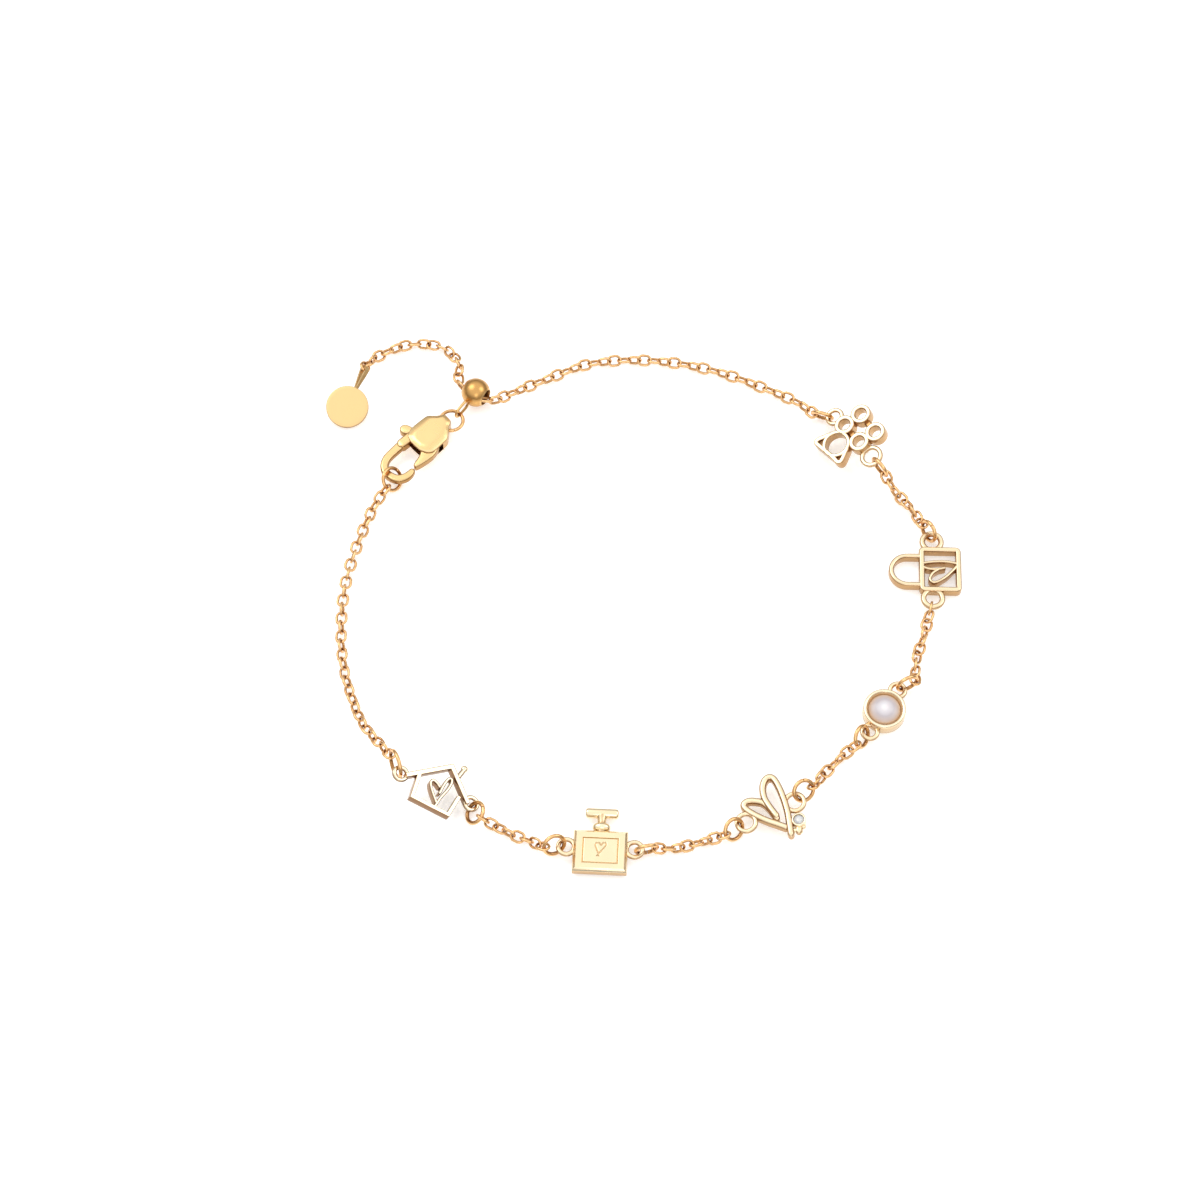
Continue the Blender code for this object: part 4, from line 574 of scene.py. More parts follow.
flat_strap["rows"][:, :, 2] *= wide_at[:, None]
# The strap keeps only a little of its painted shade.
flat_strap["deep"] = flat_strap["deep"] * 0.2
stood = Matrix.Rotation(math.radians(90.0), 4, "X")
hung = (Matrix.Rotation(math.radians(66.0), 4, "Z") @ Matrix.Translation((TAG_RADIUS - BAIL_STRAP, 0.0, 0.0))
        @ Matrix.Rotation(math.radians(40.0), 4, "X"))
put("round_tag", [disc, shifted(flat_strap, matrix=hung @ stood)], tag_gold, place(*TAG_PLACE),
    nodes=["tag_disc"], sharp=45)

# House charm
# Cast in pale gold from a drawn line: a roof of two flat bars, three walls, a
# chimney, and a scribbled heart between the walls. A round eye at either side.
# Pale gilt: the tint, a lighter colour of wear and painted highlight, and a brown of painted shade.
charm_gold = gilded("pale_gilt", (0.92, 0.75, 0.49), (1.00, 0.90, 0.70), (0.45, 0.245, 0.095),
                    1100.0, 0.20, 0.32, 0.18)
HOUSE_PLACE = ((-22.95, -25.365, 2.450), (4.0, 21.0, 0.0))
HOUSE_SPAN, HOUSE_THICK = 8.00 * MM, 1.15 * MM
ROOF = ((-0.435, 0.126), (0.219, 0.359), (0.472, -0.148))
WALLS = ((-0.247, 0.170), (-0.339, -0.176), (0.192, -0.360), (0.339, -0.075))
CHIMNEY = ((0.335, 0.240), (0.412, 0.359))
HOUSE_HEART_LEFT = ((0.012, -0.205), (-0.059, -0.034), (-0.079, 0.072), (-0.042, 0.111), (0.010, 0.079),
    (0.051, 0.030))
HOUSE_HEART_RIGHT = ((0.058, -0.061), (0.110, 0.060), (0.170, 0.158), (0.214, 0.172), (0.226, 0.120),
    (0.169, 0.002), (0.075, -0.127), (0.000, -0.265))


def mitred(points, widths, thick, rounding):
    """A flat bar with sharp corners: a rounded rectangle at each corner, set along
    the line that halves it and widened so that each side keeps its width."""
    widths = np.broadcast_to(np.array(widths, float), (len(points),))
    after, before = np.roll(points, -1, 0) - points, points - np.roll(points, 1, 0)
    before[0], after[-1] = after[0], before[-1]
    after, before = unit(after), unit(before)
    half = unit(after + before)
    stretch = 1.0 / np.maximum(np.abs((half * after).sum(1)), 0.35)
    across = np.stack([-half[:, 1], half[:, 0]], 1)
    signs, ways, edge, sides = rounded_section()
    size = np.stack([widths, np.full(len(points), thick)], 1)[:, None]
    shape = signs * (size / 2 - rounding) + ways * rounding
    flat = points[:, None] + across[:, None] * (shape[:, :, :1] * stretch[:, None, None])
    # Wear and a painted highlight along the rounded edges, painted shade on the sides.
    return surface(np.concatenate([flat, shape[:, :, 1:]], 2), edge, sides * 0.95, loop=False, capped=True)


def charm_eye(x, y, outer, z=0.0, wire_size=0.46 * MM):
    """A charm's round eye, cast with it: a rounded band carried round in the
    charm's plane, a little wider than it is tall."""
    section, edge, sides = rounded_rectangle(wire_size * 1.16, wire_size * 1.10, wire_size * 0.46, across=1)
    section = section + np.array((outer / 2 - wire_size * 0.56, 0.0))
    # Wear and a painted highlight along the rounded edges, painted shade on the sides.
    return shifted(turned(section, 48, edge * 0.5, sides * 0.75, loop=True), by=(x, y, z))


# Polished pale gilt: the tint, a lighter colour of wear and painted highlight, and a dark brown of painted
# shade.
house_gold = gilded("polished_pale_gilt", (0.93, 0.78, 0.54), (1.00, 0.93, 0.78), (0.22, 0.10, 0.032),
                    1100.0, 0.10, 0.20, 0.10)
roof = mitred(scaled(ROOF, HOUSE_SPAN), np.array((0.56, 0.56, 0.50)) * MM, HOUSE_THICK, 0.09 * MM)
walls = mitred(scaled(WALLS, HOUSE_SPAN), 0.48 * MM, HOUSE_THICK - 0.03 * MM, 0.09 * MM)
pin = bar_along(scaled(CHIMNEY, HOUSE_SPAN), 0.58 * MM, 0.66 * MM, 0.26 * MM, end_steps=3)
swell = np.linspace(0.08, math.pi - 0.08, 14)
# Wear and a painted highlight round the cap's widest part.
cap = turned(np.stack([0.43 * np.sin(swell), -0.38 * np.cos(swell)], 1) * MM, 24, 0.6 * np.sin(swell))
cap = shifted(cap, by=(0.416 * HOUSE_SPAN, 0.366 * HOUSE_SPAN, 0.06 * MM))
scribble = [bar_along(smooth(scaled(line, HOUSE_SPAN), 8), 0.34 * MM, HOUSE_THICK - drop, 0.13 * MM)
            for line, drop in ((HOUSE_HEART_LEFT, 0.05 * MM), (HOUSE_HEART_RIGHT, 0.02 * MM))]
house_eyes = [charm_eye(x * HOUSE_SPAN, y * HOUSE_SPAN, 1.95 * MM, wire_size=0.42 * MM)
              for x, y in ((-0.505, 0.150), (0.535, -0.125))]
put("house", [roof, walls, pin, cap] + scribble + house_eyes, house_gold, place(*HOUSE_PLACE),
    nodes=["house_charm"], sharp=45)

# Perfume bottle charm
# A solid cast block with cut edges and, on its face, a thin engraved frame round
# a smaller drawn heart. A ball collar, a neck and a bar for a stopper stand on it.
BOTTLE_PLACE = ((-4.63, -32.285, 0.77), (0.0, 0.0, -2.8))
BOTTLE_WIDE, BOTTLE_TALL, BOTTLE_THICK, BOTTLE_CUT = 6.05 * MM, 4.97 * MM, 1.50 * MM, 0.34 * MM
PANEL_WIDE, PANEL_TALL = 4.05 * MM, 3.15 * MM
PANEL_LINE_DEEP, HEART_LINE_DEEP, PLATE_THICK = 0.12 * MM, 0.10 * MM, 0.18 * MM
BOTTLE_HEART = ((-0.36, -0.66), (-0.20, -0.46), (0.02, -0.14), (0.40, 0.36), (0.58, 0.68), (0.50, 0.92),
    (0.26, 0.90), (0.04, 0.62), (-0.12, 0.84), (-0.40, 0.90), (-0.58, 0.74), (-0.54, 0.42), (-0.38, 0.02),
    (-0.22, -0.38), (-0.16, -0.66))


def face_plate(wide, tall, high):
    """The block's face as a height over a grid: level, less the engraved lines,
    each a rounded trough by its distance from a frame or from a drawn curve."""
    x, y = np.meshgrid(np.linspace(-wide / 2, wide / 2, 210), np.linspace(-tall / 2, tall / 2, 170))
    frame_gap = np.maximum(np.abs(x) - PANEL_WIDE / 2, np.abs(y) - PANEL_TALL / 2) + 0.10 * MM
    trough = PANEL_LINE_DEEP * np.exp(-(frame_gap / (0.060 * MM)) ** 2)
    curve = smooth(np.array(BOTTLE_HEART) * MM, 10) + (0.03 * MM, 0.02 * MM)
    spots = np.stack([x, y], -1).reshape(-1, 1, 2)
    near = np.min(((spots - curve[None]) ** 2).sum(-1), 1).reshape(x.shape)
    trough = trough + HEART_LINE_DEEP * np.exp(-near / (0.075 * MM) ** 2)
    return np.stack([x, y, high - trough], -1), trough / (0.14 * MM)


def round_corners(steps):
    """For a rectangle's outline with round corners: the corner that each point
    belongs to, as signs, and its way out from the middle of that corner's circle."""
    turns = np.radians(np.concatenate([np.linspace(a, a + 90.0, steps) for a in (-90, 0, 90, 180)]))
    signs = np.repeat(((1, -1), (1, 1), (-1, 1), (-1, -1)), steps, 0)
    return signs, np.stack([np.cos(turns), np.sin(turns)], 1)


def block_sides(wide, tall, thick, cut, rounding, soft):
    """The block's walls and cut edges: an outline of four straight sides with
    small round corners, drawn in and raised row by row from back to face. A row
    is its inset, its height, and how much wear and painted highlight it has;
    the rows below the face's cut edge get painted shade."""
    low, high = -thick / 2, thick / 2
    rows = np.array((
        (cut + 0.3 * MM, low, 0.0), (cut + soft, low, 0.3), (cut - soft * 0.3, low + soft * 0.3, 1.0),
        (soft * 0.4, low + cut - soft * 0.4, 0.6), (0.0, low + cut + soft, 1.0), (0.0, 0.0, 0.0),
        (0.0, high - cut - soft, 0.3), (soft * 0.3, high - cut + soft * 0.3, 1.0),
        (cut / 2, high - cut / 2, 0.0), (cut - soft * 0.4, high - soft * 0.4, 1.0), (cut, high, 0.3),
        (cut + 0.02 * MM, high, 0.0), (cut + 0.02 * MM, high - 0.16 * MM, 0.0)))
    signs, ways = round_corners(5)
    inset = rows[:, 0, None, None]
    radius = np.maximum(rounding - inset * 0.5, 0.02 * MM)
    flat = signs * (np.array((wide, tall)) / 2 - inset - radius) + radius * ways
    # Painted shade on the walls and the lower cut edge, below the face's cut edge.
    deep = 0.75 * (rows[:, 1:2] < high - cut)
    return surface(raised(flat, rows[:, 1]), rows[:, 2:], deep, loop=False, capped=True)


block_walls = block_sides(BOTTLE_WIDE, BOTTLE_TALL, BOTTLE_THICK, BOTTLE_CUT, 0.10 * MM, 0.05 * MM)
# Half of the stopper's bar: radius, distance along it, and how much wear and painted highlight
half_bar = np.array(((0.575, 1.56, 0.2), (0.54, 1.72, 0.8), (0.45, 1.82, 0.8), (0.30, 1.87, 0.3),
                     (0.02, 1.875, 0.0)))
stopper_bar = np.vstack([half_bar[::-1] * (1, -1, 1), half_bar])
lying = Matrix.Rotation(math.radians(90.0), 4, "Y")
stopper = turned(stopper_bar[:, :2] * MM, 40, stopper_bar[:, 2])
stopper = shifted(stopper, by=(0.0, 4.75 * MM, 0.0), matrix=lying)
upright = Matrix.Rotation(math.radians(-90.0), 4, "X")
swell = np.linspace(0.06, math.pi - 0.06, 22)
collar_profile = np.stack([1.025 * np.sin(swell) ** 0.7, 3.04 - 0.50 * np.cos(swell)], 1)
# Wear and a painted highlight round the collar's widest part.
collar = shifted(turned(collar_profile * MM, 48, 0.5 * np.sin(swell)), matrix=upright)
collar["rows"] = collar["rows"] * (1.0, 1.0, 0.70)
neck_profile = [(0.62, 2.2), (0.56, 2.6), (0.50, 3.2), (0.46, 3.6), (0.48, 3.95), (0.60, 4.25), (0.62, 4.5)]
# The neck gets painted shade all along it.
neck = turned(np.array(neck_profile) * MM, 36, deep=[0.6, 0.6, 0.5, 0.6, 0.3, 0.4, 0.5])
neck = shifted(neck, matrix=upright)
neck["rows"] = neck["rows"] * (1.0, 1.0, 0.92)
bottle_eyes = [charm_eye(side * 3.775 * MM, 0.45 * MM, 2.30 * MM, 0.20 * MM) for side in (-1, 1)]
put("bottle", [block_walls, stopper, collar, neck] + bottle_eyes, charm_gold,
    place(*BOTTLE_PLACE), nodes=["bottle_charm"], sharp=40)


def closed_below(rows, thick):
    """An engraved plate's points and faces: its face, and the same outline again
    below it, joined to it round the border and closed by a fan."""
    n, m = rows.shape[:2]
    index = np.arange(n * m).reshape(n, m)
    face = np.stack([index[:-1, :-1], index[:-1, 1:], index[1:, 1:], index[1:, :-1]], -1).reshape(-1, 4)
    border = np.concatenate([index[0, :-1], index[:-1, -1], index[-1, :0:-1], index[:0:-1, 0]])
    under = np.arange(len(border)) + n * m
    skirt = np.stack([border, under, np.roll(under, -1), np.roll(border, -1)], -1)
    base = rows.reshape(-1, 3)[border] - (0.0, 0.0, thick)
    fan = np.stack([np.roll(under, -1), under, np.full(len(under), n * m + len(under))], -1)
    return np.vstack([rows.reshape(-1, 3), base, base.mean(0)]), face.tolist() + skirt.tolist() + fan.tolist()


rows, trough = face_plate(BOTTLE_WIDE - 2 * BOTTLE_CUT, BOTTLE_TALL - 2 * BOTTLE_CUT,
                          BOTTLE_THICK / 2 + 0.004 * MM)
points, faces = closed_below(rows, PLATE_THICK)
# The engraved lines get painted shade, more where their troughs are deeper.
line_shade = np.zeros(len(points))
line_shade[:trough.size] = np.clip(trough.ravel(), 0.0, 1.0) * 0.8
make_piece("bottle_face", points, faces, {"deep": line_shade}, charm_gold, place(*BOTTLE_PLACE),
           "bracelet", (), 50)

# Heart charm
# Two cast strokes that cross at the foot, as if drawn in one go, with a small
# clear stone in a tube setting beside the tip. Round eyes behind the lobes.
HEART_PLACE = ((14.50, -27.115, 1.384), (1.0, -7.0, 0.0))
HEART_TALL, HEART_THICK, HEART_STROKE, HEART_STEP = 7.10 * MM, 1.30 * MM, 0.76 * MM, 0.16 * MM
HEART_RIGHT = ((0.049, -0.150), (-0.045, -0.005), (-0.120, 0.135), (-0.149, 0.276), (-0.142, 0.382),
    (-0.100, 0.472), (-0.041, 0.505), (0.018, 0.482), (0.076, 0.392), (0.132, 0.255), (0.189, 0.068),
    (0.231, -0.120), (0.255, -0.318), (0.272, -0.475))
HEART_LEFT = ((0.055, -0.185), (-0.060, -0.010), (-0.160, 0.085), (-0.292, 0.121), (-0.389, 0.121),
    (-0.449, 0.075), (-0.444, 0.020), (-0.379, -0.049), (-0.249, -0.138), (-0.085, -0.228), (0.059, -0.290),
    (0.190, -0.348))
SEAT = (0.402 * HEART_TALL, -0.250 * HEART_TALL)
strokes = [bar_along(smooth(scaled(line, HEART_TALL), 6), HEART_STROKE, HEART_THICK - step, 0.31 * MM,
                     z=-step / 2) for line, step in ((HEART_RIGHT, 0.0), (HEART_LEFT, HEART_STEP))]
heart_eyes = [charm_eye(x * HEART_TALL, y * HEART_TALL, 2.60 * MM, 0.10 * MM)
              for x, y in ((-0.420, -0.235), (0.345, 0.068))]
# The tube setting: radius and height, then how much wear and painted highlight, and how much painted shade
SETTING = np.array((
    (0.62, 0.585, 0.6, 0.0), (0.69, 0.60, 1.0, 0.0), (0.77, 0.58, 1.0, 0.0), (0.80, 0.52, 0.5, 0.0),
    (0.80, -0.50, 0.2, 0.0), (0.74, -0.585, 0.4, 0.0), (0.20, -0.585, 0.0, 0.0), (0.02, -0.585, 0.0, 0.6),
    (0.02, -0.20, 0.0, 1.0), (0.60, -0.20, 0.0, 1.0), (0.60, 0.52, 0.3, 0.4)))
setting = shifted(turned(SETTING[:, :2] * MM, 40, SETTING[:, 2], SETTING[:, 3], loop=True), by=(*SEAT, 0.0))
dome = np.linspace(0.08, math.pi - 0.08, 12)
ball_profile = np.stack([np.sin(dome), -np.cos(dome)], 1) * 0.30 * MM
# Wear and a painted highlight round each ball foot's widest part.
bead = turned(ball_profile, 18, 0.4 * np.sin(dome))
feet = [shifted(bead, by=(SEAT[0] + x * MM, SEAT[1] + y * MM, z * MM))
        for x, y, z in ((-0.50, -1.12, 0.08), (0.10, -1.18, -0.12), (0.46, -0.72, 0.05))]
post_line = np.array((SEAT, (SEAT[0] - 0.05 * MM, SEAT[1] - 1.15 * MM)))
post = bar_along(post_line, 0.74 * MM, 0.86 * MM, 0.22 * MM, z=-0.12 * MM)
put("heart", strokes + heart_eyes + [setting, post] + feet, charm_gold,
    place(*HEART_PLACE), nodes=["heart_charm"], sharp=50)

# Stone
# A small round brilliant of clear glass: a table, a ring of kite and triangle
# facets round it, a thin girdle and a pointed back. The setting's rim holds it.
STONE_RADIUS, STONE_TALL = 0.58 * MM, 0.60 * MM
stone_glass = finished("clear_glass", {"Base Color": (0.90, 0.95, 1.0, 1.0), "Roughness": 0.02, "IOR": 2.2,
                                       "Transmission Weight": 0.45})[0]
sides = np.arange(16)
turns = sides * math.pi / 8
kite = np.where(sides % 2 == 0, 1.0, 0.93)
# Six rings of corners, from the table down to the point: radius and height as shares
reach = np.stack([0.58 * kite, np.where(sides % 2 == 0, 0.80 / 1.06, 0.80), 1.0 + 0 * kite, 1.0 + 0 * kite,
                  0.55 * kite, 0.05 + 0 * kite])
levels = np.array((0.94, 0.78, 0.56, 0.50, 0.22, 0.02))[:, None] + 0 * reach
rows = np.stack([reach * np.cos(turns) * STONE_RADIUS, reach * np.sin(turns) * STONE_RADIUS,
                 levels * STONE_TALL], 2)
put("brilliant", [surface(rows, loop=False, capped=True, flat=True)], stone_glass,
    place((17.3239, -28.8916, 1.8053), (1.0, -7.0, 0.0)), nodes=["heart_stone"])

# Pearl charm
# A button pearl glued into a shallow round cup whose rim is rolled a little
# inwards. The cup has a cast eye at either side.
PEARL_PLACE = ((27.35, -14.965, 1.0457), (3.0, 0.0, 0.0))
CUP_RADIUS, CUP_EYE_AT, CUP_EYES = 2.425, 3.019 * MM, np.radians((58.0, 236.0))
PEARL_RADIUS, PEARL_DOME, PEARL_LIFT = 1.90, 0.918, 0.182
# The cup: how far in from its outside and how high, then how much wear and painted highlight, and how much
# painted shade
CUP_SECTION = np.array((
    (2.405, -0.90, 0.0, 0.0), (0.22, -0.90, 0.2, 0.0), (0.05, -0.83, 0.8, 0.2), (0.00, -0.68, 0.3, 0.5),
    (0.00, 0.58, 0.1, 0.5), (0.03, 0.76, 0.5, 0.2), (0.10, 0.86, 0.9, 0.0), (0.21, 0.90, 1.0, 0.0),
    (0.33, 0.88, 0.9, 0.0), (0.40, 0.81, 0.5, 0.1), (0.45, 0.70, 0.0, 0.35), (0.57, 0.60, 0.3, 0.15),
    (0.60, 0.42, 0.0, 0.45), (0.36, 0.30, 0.0, 0.7), (0.36, -0.50, 0.0, 1.0), (2.405, -0.50, 0.0, 1.0)))
cup_profile = (CUP_SECTION[:, :2] * (-1, 1) + (CUP_RADIUS, 0.0)) * MM
cup = turned(cup_profile, 84, CUP_SECTION[:, 2], CUP_SECTION[:, 3], loop=True)
cup_eyes = [charm_eye(CUP_EYE_AT * math.cos(way), CUP_EYE_AT * math.sin(way), 2.20 * MM, -0.10 * MM)
            for way in CUP_EYES]
put("pearl_cup", [cup] + cup_eyes, charm_gold, place(*PEARL_PLACE),
    nodes=["pearl_bezel"], sharp=50)

# The pearl's colour is painted light: a painted highlight at its top, painted grey shade round it, and
# painted shade warmed to peach towards the rim; a faint noise varies its tone.
pearl_skin, shader = finished("pearl_skin", {
    "Roughness": 0.30, "Coat Weight": 0.5, "Coat Roughness": 0.12, "Subsurface Weight": 0.15,
    "Subsurface Radius": (0.0006, 0.0004, 0.0003)})
nodes, join = pearl_skin.node_tree.nodes, pearl_skin.node_tree.links.new
where, cloud = nodes.new("ShaderNodeTexCoord"), nodes.new("ShaderNodeTexNoise")
blush = nodes.new("ShaderNodeMix")
facing, painted_lustre = nodes.new("ShaderNodeAttribute"), nodes.new("ShaderNodeValToRGB")
blush.data_type = "RGBA"
blush.blend_type = "MULTIPLY"
facing.attribute_name = "deep"
for node, label, value in ((cloud, "Scale", 900.0), (cloud, "Detail", 2.0),
                           (blush, "B", (0.90, 0.86, 0.86, 1.0))):
    node.inputs[label].default_value = value
# The ramp from the pearl's top outwards: painted highlight, then painted grey shade, then painted shade in a
# warm peach.
band = painted_lustre.color_ramp.elements
band[0].position, band[0].color = 0.0, (0.86, 0.85, 0.87, 1.0)
band[1].position, band[1].color = 0.92, (0.64, 0.42, 0.24, 1.0)
for at, colour in ((0.07, (0.72, 0.70, 0.73)), (0.30, (0.53, 0.49, 0.515)), (0.62, (0.60, 0.49, 0.43))):
    band.new(at).color = (*colour, 1.0)
for start, out, end, into in ((where, "Object", cloud, "Vector"), (cloud, "Fac", blush, "Factor"),
                              (facing, "Fac", painted_lustre, "Fac"), (painted_lustre, "Color", blush, "A"),
                              (blush, "Result", shader, "Base Color")):
    join(start.outputs[out], end.inputs[into])
tip = np.linspace(0.02, 2.19, 34)
pearl_profile = np.stack([PEARL_RADIUS * np.sin(tip), PEARL_LIFT + PEARL_DOME * np.cos(tip)], 1) * MM
pearl_profile = np.vstack([pearl_profile, (0.02 * MM, pearl_profile[-1, 1])])
# How far out from the pearl's top a point lies, 0 at the top and 1 from the widest part down: it picks the
# painted highlight and shade from the ramp.
pearl_painted_shade = np.append(np.where(tip < math.pi / 2, np.sin(tip) ** 2, 1.0), 1.0)
put("button_pearl", [turned(pearl_profile, 72, deep=pearl_painted_shade)], pearl_skin, place(*PEARL_PLACE),
    nodes=["pearl"])

# Padlock charm
# A cast square frame with a bow at its side and a heart scribbled inside it in
# a finer line. A stout eye stands at either end.
LOCK_PLACE = ((34.55, 3.235, 0.67), (0.0, 0.0, -1.5))
LOCK_WIDE, LOCK_TALL, LOCK_THICK = 4.85 * MM, 5.85 * MM, 1.30 * MM
LOCK_BAR, LOCK_CORNER = 0.63 * MM, 0.30 * MM
BOW_WIDE, BOW_REACH, BOW_BAR, BOW_SHIFT = 4.30 * MM, 3.50 * MM, 0.58 * MM, -0.15 * MM
LOCK_HEART_UPPER = ((0.900, 0.250), (0.400, 0.340), (-0.100, 0.350), (-0.790, 0.265), (-0.850, 0.140),
    (-0.620, 0.030), (-0.150, 0.000), (0.190, 0.060))
LOCK_HEART_LOWER = ((-0.120, -0.020), (-0.380, -0.190), (-0.500, -0.410), (-0.400, -0.570), (-0.150, -0.560),
    (0.230, -0.350), (0.540, -0.090), (0.860, 0.230))
x, y = LOCK_WIDE / 2 - LOCK_BAR / 2, LOCK_TALL / 2 - LOCK_BAR / 2
signs, ways = round_corners(6)
frame_line = signs * (x - LOCK_CORNER, y - LOCK_CORNER) + LOCK_CORNER * ways
square = bar_along(frame_line, LOCK_BAR, LOCK_THICK, 0.20 * MM, closed=True)
bend_x = -LOCK_WIDE / 2 - BOW_REACH + BOW_WIDE / 2
radius = BOW_WIDE / 2 - BOW_BAR / 2
turns = np.linspace(0.0, math.pi, 33)
bow_line = np.stack([bend_x - radius * np.sin(turns), BOW_SHIFT + radius * np.cos(turns)], 1)
bow_line = np.vstack([(-x, bow_line[0, 1]), bow_line, (-x, bow_line[-1, 1])])
bow = bar_along(bow_line, BOW_BAR, LOCK_THICK - 0.03 * MM, 0.24 * MM, round_ends=False)
halves = np.array((LOCK_WIDE / 2, LOCK_TALL / 2))
scribbles = [bar_along(smooth(np.array(line) * halves, 8), 0.36 * MM, LOCK_THICK - drop, 0.16 * MM)
             for line, drop in ((LOCK_HEART_UPPER, 0.05 * MM), (LOCK_HEART_LOWER, 0.08 * MM))]
lock_eyes = [charm_eye(-0.90 * MM, side * 3.709 * MM, 2.80 * MM, 0.20 * MM, 0.56 * MM) for side in (-1, 1)]
put("padlock", [square, bow] + scribbles + lock_eyes, charm_gold, place(*LOCK_PLACE),
    nodes=["padlock_charm"], sharp=45)

# Cluster charm
# Four short tubes and a larger ring with two small pierced ears, cast side to
# side in one piece, their rims rounded by polishing.
CLUSTER_PLACE = ((25.47, 20.955, 2.7135), (4.0, -22.0, 0.0))
CLUSTER_SPAN, CLUSTER_THICK = 7.60 * MM, 1.50 * MM
TUBES = ((0.101, 0.233), (-0.170, 0.105), (0.310, -0.121), (0.043, -0.232))
EARED_RING = (-0.322, -0.193)
# The rim round both ears, from the ring's one side to its other
EAR_RIM = ((-0.322, 0.001), (-0.420, -0.010), (-0.520, -0.034), (-0.592, -0.050), (-0.636, -0.074),
    (-0.638, -0.116), (-0.585, -0.180), (-0.500, -0.278), (-0.425, -0.364), (-0.364, -0.442),
    (-0.324, -0.500), (-0.277, -0.510), (-0.238, -0.465), (-0.200, -0.390), (-0.162, -0.325),
    (-0.140, -0.262))
TUBE_OUT, TUBE_HOLE, EARED_OUT, EARED_HOLE = 2.46 * MM, 1.36 * MM, 3.48 * MM, 2.56 * MM
BRIDGE_FROM, BRIDGE_WIDE, BRIDGE_THICK = 0.95 * MM, 0.80 * MM, 0.90 * MM


def tube(outer, hole, tall, rounding):
    """A short tube: a rounded rectangle of the wall's width carried round."""
    wall = (outer - hole) / 2
    section, edge, sides = rounded_rectangle(wall, tall, rounding, across=2)
    section = section + np.array(((outer + hole) / 4, 0.0))
    # Wear and a painted highlight along the rounded rims, painted shade on the walls.
    return turned(section, 52, edge, sides * 0.85, loop=True)


def between(a, b):
    """Two points on the line from one tube's middle to the next, each inside a wall."""
    a, b = scaled((a, b), CLUSTER_SPAN)
    step = unit(b - a) * BRIDGE_FROM
    return np.stack([a + step, b - step])


tubes = [shifted(tube(TUBE_OUT, TUBE_HOLE, CLUSTER_THICK - 0.02 * MM * i, 0.17 * MM),
                 by=(x * CLUSTER_SPAN, y * CLUSTER_SPAN, 0.0)) for i, (x, y) in enumerate(TUBES)]
eared = shifted(tube(EARED_OUT, EARED_HOLE, CLUSTER_THICK - 0.10 * MM, 0.15 * MM),
                by=(EARED_RING[0] * CLUSTER_SPAN, EARED_RING[1] * CLUSTER_SPAN, 0.0))
ear_line = smooth(scaled(EAR_RIM, CLUSTER_SPAN), 5)
ear_wide = (0.54 - 0.15 * np.linspace(-1.0, 1.0, len(ear_line)) ** 8) * MM
ears = bar_along(ear_line, ear_wide, CLUSTER_THICK - 0.12 * MM, 0.15 * MM)
bridges = [bar_along(between(TUBES[a], TUBES[b]), BRIDGE_WIDE, BRIDGE_THICK, 0.2 * MM, round_ends=False,
                     z=-0.2 * MM) for a, b in ((0, 1), (0, 2), (1, 3), (2, 3))]
# The webs between the tubes get painted shade all over.
bridges = [{**web, "deep": np.ones(web["deep"].shape)} for web in bridges]
cluster_eyes = [charm_eye(-0.345 * CLUSTER_SPAN, 0.325 * CLUSTER_SPAN, 2.30 * MM, -0.15 * MM),
                charm_eye(0.200 * CLUSTER_SPAN, -0.480 * CLUSTER_SPAN, 2.75 * MM, -0.15 * MM)]
put("cluster", tubes + bridges + [eared, ears] + cluster_eyes, charm_gold,
    place(*CLUSTER_PLACE), nodes=["cluster_charm"], sharp=50)

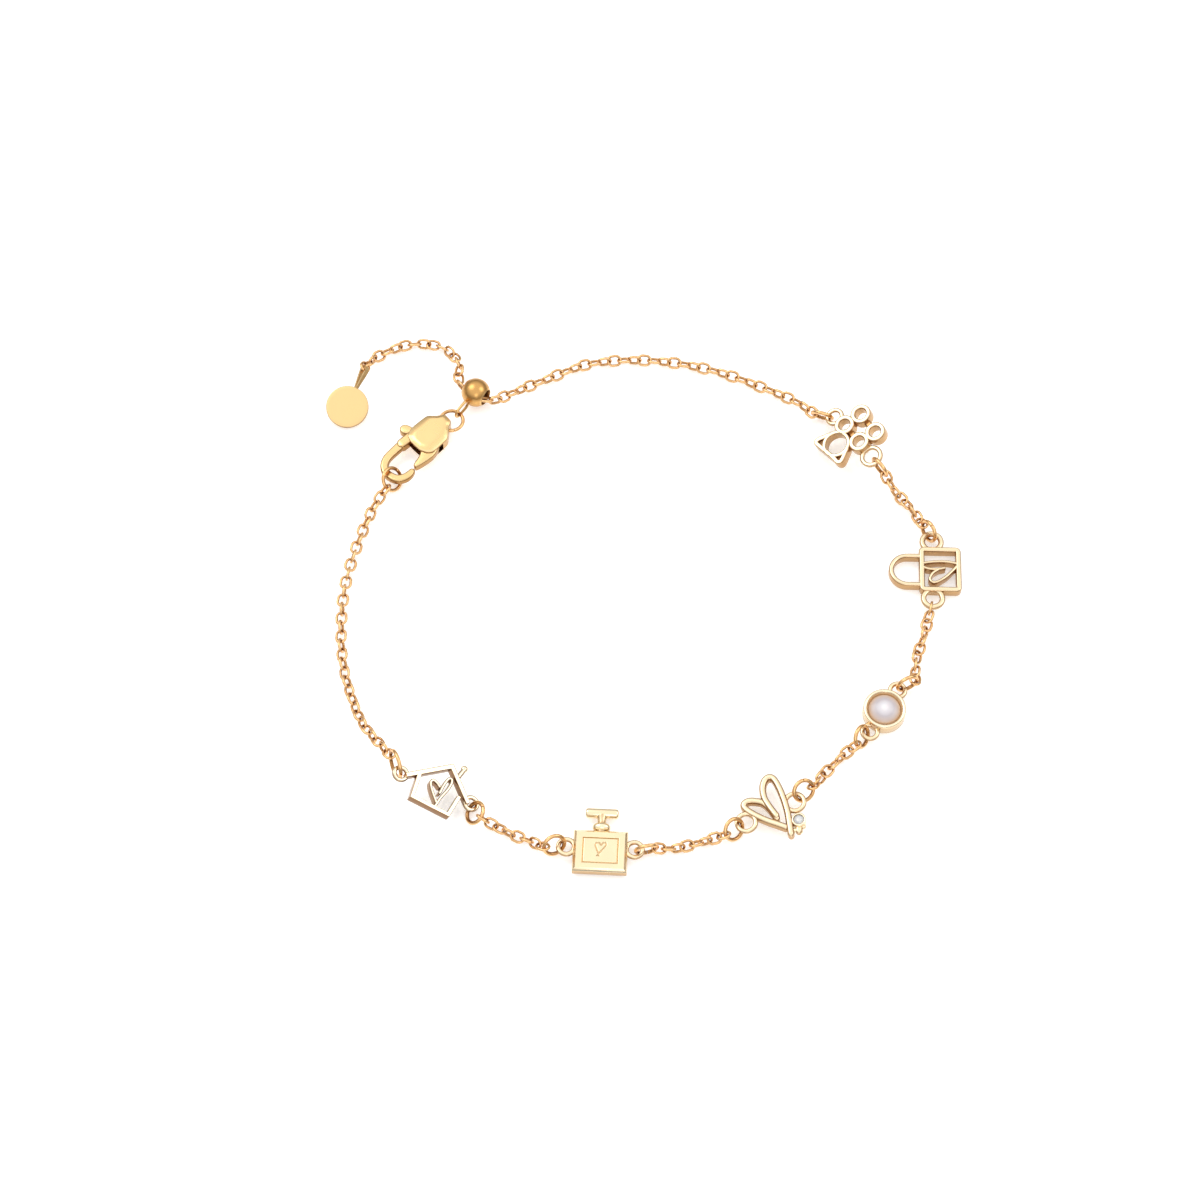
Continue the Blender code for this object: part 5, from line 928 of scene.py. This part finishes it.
# Table, light and camera
# A glossy white table under large soft lamps, seen from above as a product
# photograph is taken.
bpy.ops.mesh.primitive_plane_add(size=3.0, location=(0.0, 0.0, -0.0001))
table = bpy.context.object
table.name = "table"
white = finished("table_white", {
    "Base Color": (0.86, 0.86, 0.86, 1.0), "Roughness": 0.50, "Coat Weight": 1.0, "Coat IOR": 1.75,
    "Coat Roughness": 0.02, "Emission Color": (1.0, 1.0, 1.0, 1.0), "Emission Strength": 0.40})[0]
table.data.materials.append(white)

world = bpy.data.worlds.new("studio")
bpy.context.scene.world = world
world.use_nodes = True
nodes, join = world.node_tree.nodes, world.node_tree.links.new
way_up, height = nodes.new("ShaderNodeTexCoord"), nodes.new("ShaderNodeSeparateXYZ")
fall = nodes.new("ShaderNodeValToRGB")
dim, bright = fall.color_ramp.elements
dim.position, dim.color = 0.0, (0.10, 0.085, 0.07, 1.0)
bright.position, bright.color = 0.70, (1.0, 1.0, 1.0, 1.0)
join(way_up.outputs["Generated"], height.inputs["Vector"])
join(height.outputs["Z"], fall.inputs["Fac"])
join(fall.outputs["Color"], nodes["Background"].inputs["Color"])
nodes["Background"].inputs["Strength"].default_value = 1.20
bpy.context.scene.view_settings.view_transform = "Standard"
LAMPS = (("left_lamp", (-0.28, 0.18, 0.42), 0.34, 0.60), ("right_lamp", (0.36, 0.05, 0.36), 0.28, 0.30),
         ("front_lamp", (0.02, -0.42, 0.30), 0.22, 0.20))
for name, spot, size, watts in LAMPS:
    lamp = bpy.data.lights.new(name, "AREA")
    lamp.shape, lamp.size, lamp.energy = "DISK", size, watts
    holder = bpy.data.objects.new(name, lamp)
    bpy.context.scene.collection.objects.link(holder)
    holder.location = spot
    holder.rotation_euler = (-Vector(spot)).to_track_quat("-Z", "Y").to_euler()

LOOK_AT = Vector((-0.00465, -0.000165, 0.0))
DISTANCE, ELEVATION = 0.38333, math.radians(61.5)
camera = bpy.data.cameras.new("camera")
camera.lens, camera.sensor_width = 100.0, 36.0
camera.clip_start, camera.clip_end = 0.01, 10.0
viewer = bpy.data.objects.new("camera", camera)
bpy.context.scene.collection.objects.link(viewer)
viewer.location = LOOK_AT + DISTANCE * Vector((0.0, -math.cos(ELEVATION), math.sin(ELEVATION)))
viewer.rotation_euler = (math.pi / 2 - ELEVATION, 0.0, 0.0)
bpy.context.scene.camera = viewer
